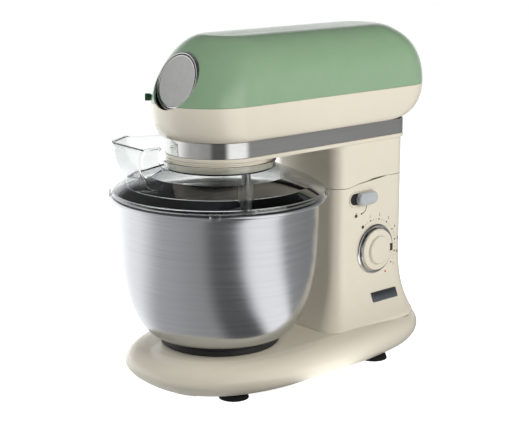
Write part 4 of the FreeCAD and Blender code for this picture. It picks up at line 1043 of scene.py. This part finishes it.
@dataclass
class Bowl(Assembly):
    """The spun steel bowl with its rolled rim, and the dark ring that locks into the seat."""

    sheet: float = 1.2 * MM
    rim_radius: float = 120 * MM
    rim_low: float = 206.2 * MM
    rim_high: float = 212 * MM
    samples: int = 40
    # The wall's outside, from the foot up: place, radius and height in millimetres.
    wall = ((0, 68, 48.5), (1, 86, 62), (2, 100, 90), (3, 107.5, 125), (4, 110.4, 165),
            (5, 111.6, 205))

    def build(self) -> None:
        """Builds the bowl and its foot ring."""
        outside = [tuple(value * MM for value in curve_through(self.wall, 5 * step / self.samples))
                   for step in range(self.samples + 1)]
        inside = offset_line(outside, self.sheet)
        roll = 2.7 * MM
        section = [Corner(0.0, outside[0][1])]
        section += [Corner(*point) for point in outside]
        section += [Corner(outside[-1][0] + 0.4 * MM, self.rim_low, 0.35 * MM),
                    Corner(self.rim_radius, self.rim_low, roll),
                    Corner(self.rim_radius, self.rim_high, roll),
                    Corner(inside[-1][0] + 0.3 * MM, self.rim_high, 2.4 * MM)]
        section += [Corner(*point) for point in reversed(inside)]
        section.append(Corner(0.0, outside[0][1] + self.sheet))
        bowl = self.piece("mixing_bowl", turned(section, steps=144, closed=False), BOWL_STEEL,
                          ["bowl"], crease=50)
        # Painted shade: faces inside the bowl, below the rim, get the darker steel in place of the
        # shade that falls there.
        bowl.data.materials.append(BOWL_INSIDE_PAINTED_SHADE.material())
        for face in bowl.data.polygons:
            away = (face.center - BOWL_AXIS) * Vector((1.0, 1.0, 0.0))
            if face.center.z < self.rim_low and (face.normal.dot(away) < 0.0
                                                 or face.normal.z > 0.6):
                face.material_index = 1
        ring = (Corner(58 * MM, 42.4 * MM), Corner(67.4 * MM, 42.4 * MM, 0.6 * MM),
                Corner(67.4 * MM, 48.45 * MM, 1.2 * MM), Corner(58 * MM, 48.45 * MM))
        self.piece("bowl_lock_ring", turned(ring, steps=120), DARK, ["bowl_foot_ring"])


@dataclass
class Guard(Assembly):
    """The clear splash guard over the bowl, with the chute that ingredients are poured down."""

    sheet: float = 1.8 * MM
    lug_turn: float = 48.0
    lugs: int = 4
    chute_turn: float = 211.0
    chute_top: float = 266 * MM
    chute_flare: float = 16.5 * MM
    # The dome's outside: radius and height in millimetres.
    dome = ((118.8, 212.4), (117.4, 216.8), (105, 225), (80, 235.6), (62.4, 243))
    # The chute's plan: radius, turn from its middle and whether the flare moves it.
    chute = ((64, -36, 0), (88, -43, 0), (104, -11, 1), (104, 11, 1), (88, 43, 0), (64, 36, 0))

    def dome_height(self, radius: float) -> float:
        """The dome's height at a radius, along its straight stretches."""
        rows = [(out * MM, high * MM) for out, high in self.dome]
        for (out, high), (nearer, higher) in zip(rows, rows[1:]):
            if radius >= nearer:
                share = min(max((out - radius) / (out - nearer), 0.0), 1.0)
                return high + (higher - high) * share
        return rows[-1][1]

    def chute_wall(self, height: float, grow: float = 0.0) -> Outline:
        """The chute's open plan at a height, its corners rounded, from end to end."""
        middle = math.radians(self.chute_turn)
        share = (height - self.dome[0][1] * MM) / (self.chute_top - self.dome[0][1] * MM)
        corners = []
        for out, turn, moves in self.chute:
            radius = out * MM + moves * self.chute_flare * max(share, 0.0) + grow
            angle = middle + math.radians(turn)
            corners.append(Vector((radius * math.cos(angle), radius * math.sin(angle), 0.0)))
        points = [corners[0]]
        for before, corner, after in zip(corners, corners[1:], corners[2:]):
            cut = 0.2 * min((corner - before).length, (corner - after).length)
            start = corner + (before - corner).normalized() * cut
            end = corner + (after - corner).normalized() * cut
            points += [start.lerp(corner, s).lerp(corner.lerp(end, s), s)
                       for s in (step / 6 for step in range(7))]
        points.append(corners[-1])
        return points

    def build_chute(self) -> None:
        """The chute's wall, flared in front, with a lip round its top."""
        lip = 1.6 * MM
        foot = [Vector((point.x, point.y, self.dome_height(point.xy.length) - 0.6 * MM))
                for point in self.chute_wall(self.dome[0][1] * MM)]
        rows = [foot]
        for part in (0.15, 0.3, 0.45, 0.6, 0.75, 0.9):
            row = []
            for index, point in enumerate(foot):
                height = point.z + (self.chute_top - point.z) * part
                place = self.chute_wall(height, 5.0 * MM * math.sin(math.pi * part))[index]
                row.append(Vector((place.x, place.y, height)))
            rows.append(row)
        for grow, drop in ((0.2 * lip, 1.9 * MM), (lip, 1.2 * MM), (lip, 0.0)):
            rows.append([Vector((point.x, point.y, self.chute_top - drop))
                         for point in self.chute_wall(self.chute_top, grow)])
        mesh = bmesh.new()
        line = [mesh.verts.new(point) for point in rows[0]]
        edges = [mesh.edges.new(pair) for pair in zip(line, line[1:])]
        for row in rows[1:]:
            grown = bmesh.ops.extrude_edge_only(mesh, edges=edges)["geom"]
            fresh = {item for item in grown if isinstance(item, bmesh.types.BMVert)}
            line = [next(edge.other_vert(vert) for edge in vert.link_edges
                         if edge.other_vert(vert) in fresh) for vert in line]
            edges = [mesh.edges.get(pair) for pair in zip(line, line[1:])]
            for vert, point in zip(line, row):
                vert.co = point
        bmesh.ops.recalc_face_normals(mesh, faces=mesh.faces)
        middle = math.radians(self.chute_turn)
        outward = Vector((math.cos(middle), math.sin(middle), 0.0))
        front = max(mesh.faces, key=lambda face: face.calc_center_median().dot(outward))
        if front.normal.dot(outward) < 0:
            bmesh.ops.reverse_faces(mesh, faces=mesh.faces)
        self.piece("feed_chute_wall", mesh, CLEAR, ["feed_chute"], wall=self.sheet, crease=60)

    def build_dome(self) -> None:
        """The dome, its neck ring and the lugs that hold it on the bowl's rim."""
        outside = [(out * MM, high * MM) for out, high in self.dome]
        inside = offset_line(outside, self.sheet)
        neck, bead, top = 62.4 * MM, 63.8 * MM, 251 * MM
        section = [Corner(*outside[0], 0.4 * MM), Corner(*outside[1], 2.5 * MM)]
        section += [Corner(*point, 6 * MM) for point in outside[2:4]]
        section += [Corner(*outside[4], 1.2 * MM), Corner(neck, top - 1.4 * MM, 0.3 * MM),
                    Corner(bead, top - 1.4 * MM, 0.4 * MM), Corner(bead, top, 0.4 * MM),
                    Corner(neck - self.sheet, top, 0.4 * MM),
                    Corner(neck - self.sheet, inside[4][1] - 0.6 * MM, 1.2 * MM)]
        section += [Corner(*point, 5 * MM) for point in reversed(inside[2:4])]
        section += [Corner(*inside[1], 1.5 * MM), Corner(*inside[0])]
        mesh = turned(section, steps=144)
        for index in range(self.lugs):
            turn = math.radians(self.lug_turn + 90 * index)
            lug = bmesh.new()
            bmesh.ops.create_cube(lug, size=1.0)
            bmesh.ops.scale(lug, vec=(2.0 * MM, 11 * MM, 7.4 * MM), verts=lug.verts)
            bmesh.ops.bevel(lug, geom=lug.edges[:], offset=0.7 * MM, offset_type="OFFSET",
                            segments=2, profile=0.5, affect="EDGES", material=-1)
            bmesh.ops.translate(lug, vec=(121.2 * MM, 0, 210.7 * MM), verts=lug.verts)
            arm = bmesh.new()
            bmesh.ops.create_cube(arm, size=1.0)
            bmesh.ops.scale(arm, vec=(5 * MM, 11 * MM, 1.8 * MM), verts=arm.verts)
            bmesh.ops.translate(arm, vec=(119.4 * MM, 0, 213.5 * MM), verts=arm.verts)
            merge_in(lug, arm)
            bmesh.ops.rotate(lug, cent=(0, 0, 0), matrix=Matrix.Rotation(turn, 3, "Z"),
                             verts=lug.verts)
            merge_in(mesh, lug)
        cutter = skin([at_height(self.chute_wall(self.dome[0][1] * MM, -3.2 * MM), height)
                       for height in (200 * MM, 260 * MM)], True, True)
        self.piece("splash_guard_dome", joined(mesh, cutter, "DIFFERENCE"), CLEAR,
                   ["splash_guard"], crease=50)

    def build(self) -> None:
        """Builds the guard and its chute."""
        self.build_dome()
        self.build_chute()


# ---------------------------------------------------------------- controls

class Glyph(Enum):
    """What is printed at a step of the dial's scale."""

    OFF = "off"
    STEP = "step"
    END = "end"


@dataclass
class Controls(Assembly):
    """The knob with its scale, the tilt lever and the blank badge on the column's side."""

    knob_y: float = 193.5 * MM
    knob_z: float = 123.5 * MM
    lever_y: float = 171 * MM
    lever_z: float = 188.4 * MM
    badge_y: float = 203 * MM
    badge_z: float = 66.4 * MM
    badge_lean: float = 23.0
    scale_radius: float = 35.8 * MM
    first_turn: float = -34.5
    step_turn: float = 23.0
    steps: int = 8
    film: float = 0.12 * MM

    def on_side(self, base: Base, y: float, z: float, proud: float = 0.0) -> Matrix:
        """A frame on the column's side, Z out of it, X to the rear and Y up."""
        rise = 0.5 * MM
        lean = (base.side_x(z + rise) - base.side_x(z - rise)) / (2 * rise)
        outward = Vector((1.0, 0.0, -lean)).normalized()
        return facing(Vector((base.side_x(z), y, z)) + outward * proud, outward)

    def lay(self, mesh: bmesh.types.BMesh, place: Matrix) -> bmesh.types.BMesh:
        """Carries a mesh drawn on the XY plane into a frame."""
        bmesh.ops.transform(mesh, matrix=place, verts=mesh.verts)
        return mesh

    def knob(self, base: Base) -> None:
        """The trim ring, the chrome skirt, the cream knob and its pointer."""
        place = facing(Vector((base.side_x(self.knob_z), self.knob_y, self.knob_z)),
                       Vector((1, 0, 0)))
        ring = (Corner(26.6 * MM, 0.0), Corner(30 * MM, 0.0, 0.3 * MM),
                Corner(30 * MM, 1.6 * MM, 0.7 * MM), Corner(28.6 * MM, 3.0 * MM, 0.8 * MM),
                Corner(27.4 * MM, 2.6 * MM, 0.4 * MM), Corner(26.9 * MM, 0.8 * MM, 0.2 * MM))
        self.piece("dial_trim_ring", turned(ring, frame_matrix=place), CHROME,
                   ["knob_trim_ring"])
        skirt = (Corner(17.8 * MM, 1.2 * MM), Corner(26.1 * MM, 1.2 * MM, 0.3 * MM),
                 Corner(26.1 * MM, 3.2 * MM, 0.5 * MM), Corner(25.2 * MM, 4.6 * MM, 0.4 * MM),
                 Corner(17.8 * MM, 4.6 * MM))
        self.piece("dial_skirt", turned(skirt, frame_matrix=place), CHROME, ["knob_skirt"],
                   body="speed_knob")
        knob = (Corner(0.0, 4.7 * MM), Corner(24.9 * MM, 4.7 * MM, 0.4 * MM),
                Corner(24.5 * MM, 6.9 * MM, 1.4 * MM), Corner(18.4 * MM, 7.6 * MM, 0.5 * MM),
                Corner(17.4 * MM, 7.2 * MM, 0.4 * MM), Corner(16.2 * MM, 11 * MM, 1.5 * MM),
                Corner(0.0, 11 * MM))
        self.piece("dial_knob", turned(knob, closed=False, frame_matrix=place), CREAM,
                   ["speed_knob"], body="speed_knob")
        pointer = plate(flat_rounded(4.4 * MM, -2.7 * MM, 2.7 * MM, 0.5 * MM, 0.5 * MM, 4, 2),
                        1.0 * MM, 0.3 * MM)
        lean = Matrix.Rotation(math.radians(-90), 4, "Z") @ Matrix.Rotation(
            math.radians(-6), 4, "X")
        bmesh.ops.transform(pointer, matrix=lean, verts=pointer.verts)
        bmesh.ops.translate(pointer, vec=(21.3 * MM, 0, 6.8 * MM), verts=pointer.verts)
        self.piece("dial_pointer", self.lay(pointer, place), INK, body="speed_knob")

    def glyph(self, text: str, height: float, place: Matrix) -> bmesh.types.BMesh:
        """A figure as a thin printed film in a frame."""
        curve = bpy.data.curves.new("figure", "FONT")
        curve.body, curve.size = text, height
        curve.align_x, curve.align_y = "CENTER", "CENTER"
        curve.extrude = self.film / 2
        holder = bpy.data.objects.new("figure", curve)
        bpy.context.scene.collection.objects.link(holder)
        bpy.context.view_layer.update()
        shape = holder.evaluated_get(bpy.context.evaluated_depsgraph_get())
        data = bpy.data.meshes.new_from_object(shape)
        bpy.data.objects.remove(holder)
        bpy.data.curves.remove(curve)
        mesh = bmesh.new()
        mesh.from_mesh(data)
        bpy.data.meshes.remove(data)
        bmesh.ops.remove_doubles(mesh, verts=mesh.verts, dist=0.001 * MM)
        return self.lay(mesh, place)

    def dot(self, radius: float, place: Matrix) -> bmesh.types.BMesh:
        """A printed dot in a frame."""
        return self.lay(plate([Vector((radius * math.cos(t), radius * math.sin(t), 0.0))
                               for t in (FULL_TURN * step / 20 for step in range(20))],
                              self.film, self.film / 3, 1), place)

    def at_clock(self, base: Base, turn: float, radius: float) -> Matrix:
        """A frame beside the knob at a clock angle in degrees, level with the machine."""
        angle = math.radians(turn)
        return self.on_side(base, self.knob_y + radius * math.sin(angle),
                            self.knob_z + radius * math.cos(angle), 0.01 * MM)

    def scale(self, base: Base) -> None:
        """The dial's dots and figures, with a red mark at its end."""
        print_film = bmesh.new()
        merge_in(print_film, self.dot(2.1 * MM, self.at_clock(base, self.first_turn,
                                                              self.scale_radius)))
        for step in range(1, self.steps):
            turn = self.first_turn + step * self.step_turn
            merge_in(print_film, self.dot(1.05 * MM, self.at_clock(base, turn,
                                                                   self.scale_radius)))
            merge_in(print_film, self.glyph(str(step), 5.0 * MM, self.at_clock(
                base, turn, self.scale_radius + 5.2 * MM)))
        for step in range(self.steps - 1):
            for share in (0.36, 0.64):
                turn = self.first_turn + (step + share) * self.step_turn
                merge_in(print_film, self.dot(0.5 * MM, self.at_clock(base, turn,
                                                                      self.scale_radius)))
        self.piece("dial_scale", print_film, INK, crease=20)
        end = self.first_turn + self.steps * self.step_turn
        self.piece("dial_end_mark", self.dot(1.3 * MM, self.at_clock(base, end,
                                                                     self.scale_radius)),
                   RED_INK)

    def lever(self, base: Base) -> None:
        """The lever's surround, a dark sheet laid in its hollow as painted shade, and the grip that
        turns in it.
        """
        place = self.on_side(base, self.lever_y, self.lever_z)
        frame_plate = plate(pill_outline(43.4 * MM, 19.4 * MM), 1.2 * MM, 0.7 * MM)
        top = max(frame_plate.faces, key=lambda face: face.calc_center_median().z)
        bmesh.ops.inset_region(frame_plate, faces=[top], thickness=1.5 * MM,
                               use_even_offset=True)
        bmesh.ops.translate(frame_plate, vec=(0, 0, -0.9 * MM), verts=top.verts)
        self.piece("lever_surround", self.lay(frame_plate, place), CREAM, ["lever_escutcheon"])
        # Painted shade: a dark plastic sheet fills the hollow beside the grip, where only shade
        # falls.
        hollow_shade_sheet = plate(pill_outline(38.6 * MM, 13.6 * MM), 0.5 * MM, 0.15 * MM, 1)
        self.piece("lever_hollow_shade_sheet", self.lay(hollow_shade_sheet, self.on_side(
            base, self.lever_y, self.lever_z, 0.35 * MM)), DARK)
        grip = plate(pill_outline(31 * MM, 15 * MM), 7.0 * MM, 2.6 * MM, 6)
        top = max(grip.faces, key=lambda face: face.calc_center_median().z)
        for inset, sink in ((1.2 * MM, 0.35 * MM), (1.8 * MM, 0.35 * MM), (1.2 * MM, 0.1 * MM)):
            bmesh.ops.inset_region(grip, faces=[top], thickness=inset, use_even_offset=True)
            bmesh.ops.translate(grip, vec=(0, 0, -sink), verts=top.verts)
        grip_place = self.on_side(base, self.lever_y + 4.6 * MM, self.lever_z, 1.3 * MM)
        self.piece("lever_grip", self.lay(grip, grip_place), GREY, ["tilt_lever"],
                   body="tilt_lever")

    def lever_print(self, base: Base) -> None:
        """The bent arrow and the small padlock printed under the lever."""
        film = bmesh.new()
        bend = 9.5 * MM
        outer = [(bend + 0.45 * MM, turn) for turn in range(0, -81, -8)]
        inner = [(bend - 0.45 * MM, turn) for turn in range(-80, 1, 8)]
        arc = [Vector((r * math.cos(math.radians(t)), r * math.sin(math.radians(t)), 0.0))
               for r, t in outer + inner]
        place = self.on_side(base, self.lever_y - 1.5 * MM, self.lever_z - 9.6 * MM, 0.01 * MM)
        merge_in(film, self.lay(plate(arc, self.film, self.film / 3, 1), place))
        tip = [Vector((0.0, -bend - 1.5 * MM, 0)), Vector((0.0, -bend + 1.5 * MM, 0)),
               Vector((-2.6 * MM, -bend, 0))]
        tip = [point + Vector((2.0 * MM, 0.15 * MM, 0)) for point in tip]
        merge_in(film, self.lay(plate(tip, self.film, self.film / 3, 1), place))
        lock = flat_rounded(2.2 * MM, -1.7 * MM, 1.7 * MM, 0.3 * MM, 0.3 * MM, 2, 2)
        spot = self.on_side(base, self.lever_y - 9.5 * MM, self.lever_z - 20.5 * MM, 0.01 * MM)
        merge_in(film, self.lay(plate(lock, self.film, self.film / 3, 1), spot))
        shackle = [Vector((r * math.cos(math.radians(t)), 1.9 * MM + r * math.sin(
            math.radians(t)), 0.0)) for r, t in [(1.7 * MM, turn) for turn in range(0, 181, 20)]
            + [(1.1 * MM, turn) for turn in range(180, -1, -20)]]
        merge_in(film, self.lay(plate(shackle, self.film, self.film / 3, 1), spot))
        self.piece("lever_print", film, INK, crease=20)

    def badge(self) -> None:
        """The blank metal badge, with a raised frame round its plain field."""
        low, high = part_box("badge_plate")
        lean = math.radians(self.badge_lean)
        outward = Vector((math.cos(lean), 0.0, math.sin(lean)))
        thick = 1.8 * MM
        middle = (low + high) / 2 - BOWL_AXIS
        width = high.y - low.y
        tall = (high.z - low.z - thick * math.sin(lean)) / math.cos(lean)
        field = plate(flat_rounded(width / 2, -tall / 2, tall / 2, 1.2 * MM, 1.2 * MM, 5, 2),
                      thick, 0.4 * MM)
        inner = plate(flat_rounded(width / 2 - 1.6 * MM, 1.6 * MM - tall / 2,
                                   tall / 2 - 1.6 * MM, 0.9 * MM, 0.9 * MM, 5, 2),
                      0.4 * MM, 0.2 * MM)
        bmesh.ops.translate(inner, vec=(0, 0, thick), verts=inner.verts)
        merge_in(field, inner)
        place = facing(middle - outward * thick / 2, outward)
        self.piece("blank_badge", self.lay(field, place), BADGE, ["badge_plate"])

    def build(self, base: Base) -> None:
        """Builds the controls."""
        self.knob(base)
        self.scale(base)
        self.lever(base)
        self.lever_print(base)
        self.badge()


# ---------------------------------------------------------------- carried-over parts

def dress_frame() -> None:
    """Gives every carried-over CAD node the finish of its material slot."""
    finishes = {finish.slot: finish for finish in FINISHES}
    for part in frame["record"]["subparts"]:
        node = frame["nodes"][part["node"]]
        node.data.materials.clear()
        node.data.materials.append(finishes[part["material_slot"]].material())
        LOG.info("%s: carried over in %s", part["node"], part["material_slot"])


# ---------------------------------------------------------------- studio

@dataclass(frozen=True)
class Lamp:
    """A soft box: where it stands, its size, strength and warmth, seen from the machine."""

    name: str
    turn: float
    height: float
    distance: float
    wide: float
    tall: float
    watts: float
    colour: tuple[float, float, float] = (1.0, 1.0, 1.0)


@dataclass
class Studio:
    """The floor, the light and the camera."""

    turn: float = 48.0
    elevation: float = 13.12
    distance: float = 1476.3 * MM
    target: Vector = Vector((33.8 * MM, -46.4 * MM, 188 * MM))
    lens: float = 90.1
    floor_size: float = 14.0
    floor_glow: float = 0.86
    bands: tuple[tuple[float, float], ...] = (
        (0.0, 1.0), (0.12, 1.6), (0.24, 1.35), (0.34, 0.55), (0.44, 0.42), (0.475, 0.13),
        (0.53, 0.13), (0.57, 1.35), (0.655, 1.35), (0.70, 0.38), (0.86, 0.30), (0.96, 0.95))
    lamps: tuple[Lamp, ...] = (
        Lamp("key", 105.0, 26.0, 1.6, 1.1, 1.3, 17.0, (1.0, 0.98, 0.94)),
        Lamp("fill", -25.0, 35.0, 1.9, 1.2, 1.4, 14.0),
        Lamp("rim", 205.0, 28.0, 1.7, 1.6, 0.7, 2.0),
    )

    def spot(self, turn: float, elevation: float, distance: float) -> Vector:
        """A place seen from the target: turn from the front, elevation and distance."""
        side, up = math.radians(turn), math.radians(elevation)
        return self.target + distance * Vector((math.sin(side) * math.cos(up),
                                                -math.cos(side) * math.cos(up), math.sin(up)))

    def aim(self, thing: bpy.types.Object, place: Vector) -> None:
        """Puts a lamp or camera in place and turns it to the target."""
        thing.location = place
        thing.rotation_euler = (self.target - place).to_track_quat("-Z", "Y").to_euler()
        bpy.context.scene.collection.objects.link(thing)

    def surround(self, wires: Wiring, towards: bpy.types.NodeSocket) -> bpy.types.NodeSocket:
        """How bright the studio's walls are around the machine, flags and soft boxes included.

        Args:
            wires: the tree to add the nodes to.
            towards: a direction or place seen from the machine.

        Returns:
            The grey level there, as a colour socket.
        """
        parts = wires.add("SeparateXYZ", {0: towards}).outputs
        around = wires.sum("ARCTAN2", parts[1], parts[0])
        shifted = wires.sum("SUBTRACT", around, math.radians(self.turn - 90))
        wrapped = wires.add("Math", {0: shifted, 1: -math.pi, 2: math.pi},
                            operation="WRAP").outputs[0]
        share = wires.spread(wrapped, -math.pi, math.pi, 0.0, 1.0)
        ramp = wires.add("ValToRGB", {"Fac": share})
        stops = ramp.color_ramp
        stops.interpolation = "EASE"
        while len(stops.elements) < len(self.bands):
            stops.elements.new(0.5)
        for stop, (place, level) in zip(stops.elements, self.bands):
            stop.position = place
            stop.color = (level, level, level, 1.0)
        return ramp.outputs[0]

    def direct(self, wires: Wiring) -> bpy.types.NodeSocket:
        """1 where the studio is seen straight on or through clear plastic."""
        kind = wires.add("LightPath").outputs
        bounces = wires.sum("ADD", kind["Glossy Depth"], kind["Diffuse Depth"])
        straight = wires.sum("MULTIPLY", kind["Is Transmission Ray"],
                             wires.sum("LESS_THAN", bounces, 0.5))
        return wires.sum("MAXIMUM", kind["Is Camera Ray"], straight)

    def floor(self) -> None:
        """A wide pale floor that the feet stand on; in reflections it shows the surround."""
        mesh = bmesh.new()
        bmesh.ops.create_grid(mesh, x_segments=1, y_segments=1, size=self.floor_size / 2)
        data = bpy.data.meshes.new("studio_floor")
        mesh.to_mesh(data)
        mesh.free()
        made = bpy.data.objects.new("studio_floor", data)
        bpy.context.scene.collection.objects.link(made)
        pale = bpy.data.materials.new("studio_paper")
        pale.use_nodes = True
        wires = Wiring(pale.node_tree)
        own = wires.add("TexCoord").outputs["Object"]
        fibre = noise(wires, own, 60.0, 3.0)
        colour = wires.blend(fibre, (0.90, 0.90, 0.90, 1), (0.93, 0.93, 0.93, 1))
        paper = wires.add("BsdfPrincipled", {"Base Color": colour, "Roughness": 0.7,
                                             "Emission Color": (1, 1, 1, 1),
                                             "Emission Strength": self.floor_glow})
        mirrored = wires.add("Emission", {"Color": self.surround(wires, own),
                                          "Strength": 0.95})
        path = self.direct(wires)
        both = wires.add("MixShader", {0: path, 1: mirrored.outputs[0], 2: paper.outputs[0]})
        out = wires.add("OutputMaterial")
        wires.tree.links.new(both.outputs[0], out.inputs["Surface"])
        data.materials.append(pale)

    def sky(self) -> None:
        """White behind the machine; dimmer overhead and behind the camera in reflections."""
        world = bpy.data.worlds.new("studio")
        bpy.context.scene.world = world
        world.use_nodes = True
        wires = Wiring(world.node_tree)
        towards = wires.add("TexCoord").outputs["Generated"]
        height = wires.add("SeparateXYZ", {0: towards}).outputs[2]
        overhead = wires.spread(height, 0.04, 0.42, 1.0, 0.10)
        shade = wires.add("Mix", {0: 1.0, 6: self.surround(wires, towards), 7: overhead},
                          data_type="RGBA", blend_type="MULTIPLY").outputs[2]
        seen = wires.add("Background", {"Color": (1, 1, 1, 1), "Strength": 1.0})
        lit = wires.add("Background", {"Color": shade, "Strength": 1.0})
        path = self.direct(wires)
        both = wires.add("MixShader", {0: path, 1: lit.outputs[0], 2: seen.outputs[0]})
        out = wires.add("OutputWorld")
        wires.tree.links.new(both.outputs[0], out.inputs["Surface"])

    def build(self) -> None:
        """Sets up the floor, the sky, the lamps and the camera."""
        self.floor()
        self.sky()
        for lamp in self.lamps:
            light = bpy.data.lights.new(lamp.name, "AREA")
            light.shape, light.size, light.size_y = "RECTANGLE", lamp.wide, lamp.tall
            light.energy, light.color = lamp.watts, lamp.colour
            stand = bpy.data.objects.new(lamp.name, light)
            stand.visible_glossy = False
            self.aim(stand, self.spot(lamp.turn, lamp.height, lamp.distance))
        lens = bpy.data.cameras.new("camera")
        lens.lens, lens.sensor_width, lens.sensor_fit = self.lens, 36.0, "HORIZONTAL"
        camera = bpy.data.objects.new("camera", lens)
        self.aim(camera, self.spot(self.turn, self.elevation, self.distance))
        bpy.context.scene.camera = camera
        bpy.context.scene.view_settings.view_transform = "Standard"


# ---------------------------------------------------------------- assembly

def main() -> None:
    """Builds the machine and the studio, piece by piece."""
    logging.basicConfig(level=logging.INFO, format="%(message)s")
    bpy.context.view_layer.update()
    Studio().build()
    dress_frame()
    base = Base("base")
    base.build()
    Head("head").build(base)
    Bowl("bowl").build()
    Guard("splash_guard").build()
    Controls("base").build(base)


if __name__ == "__main__":
    main()
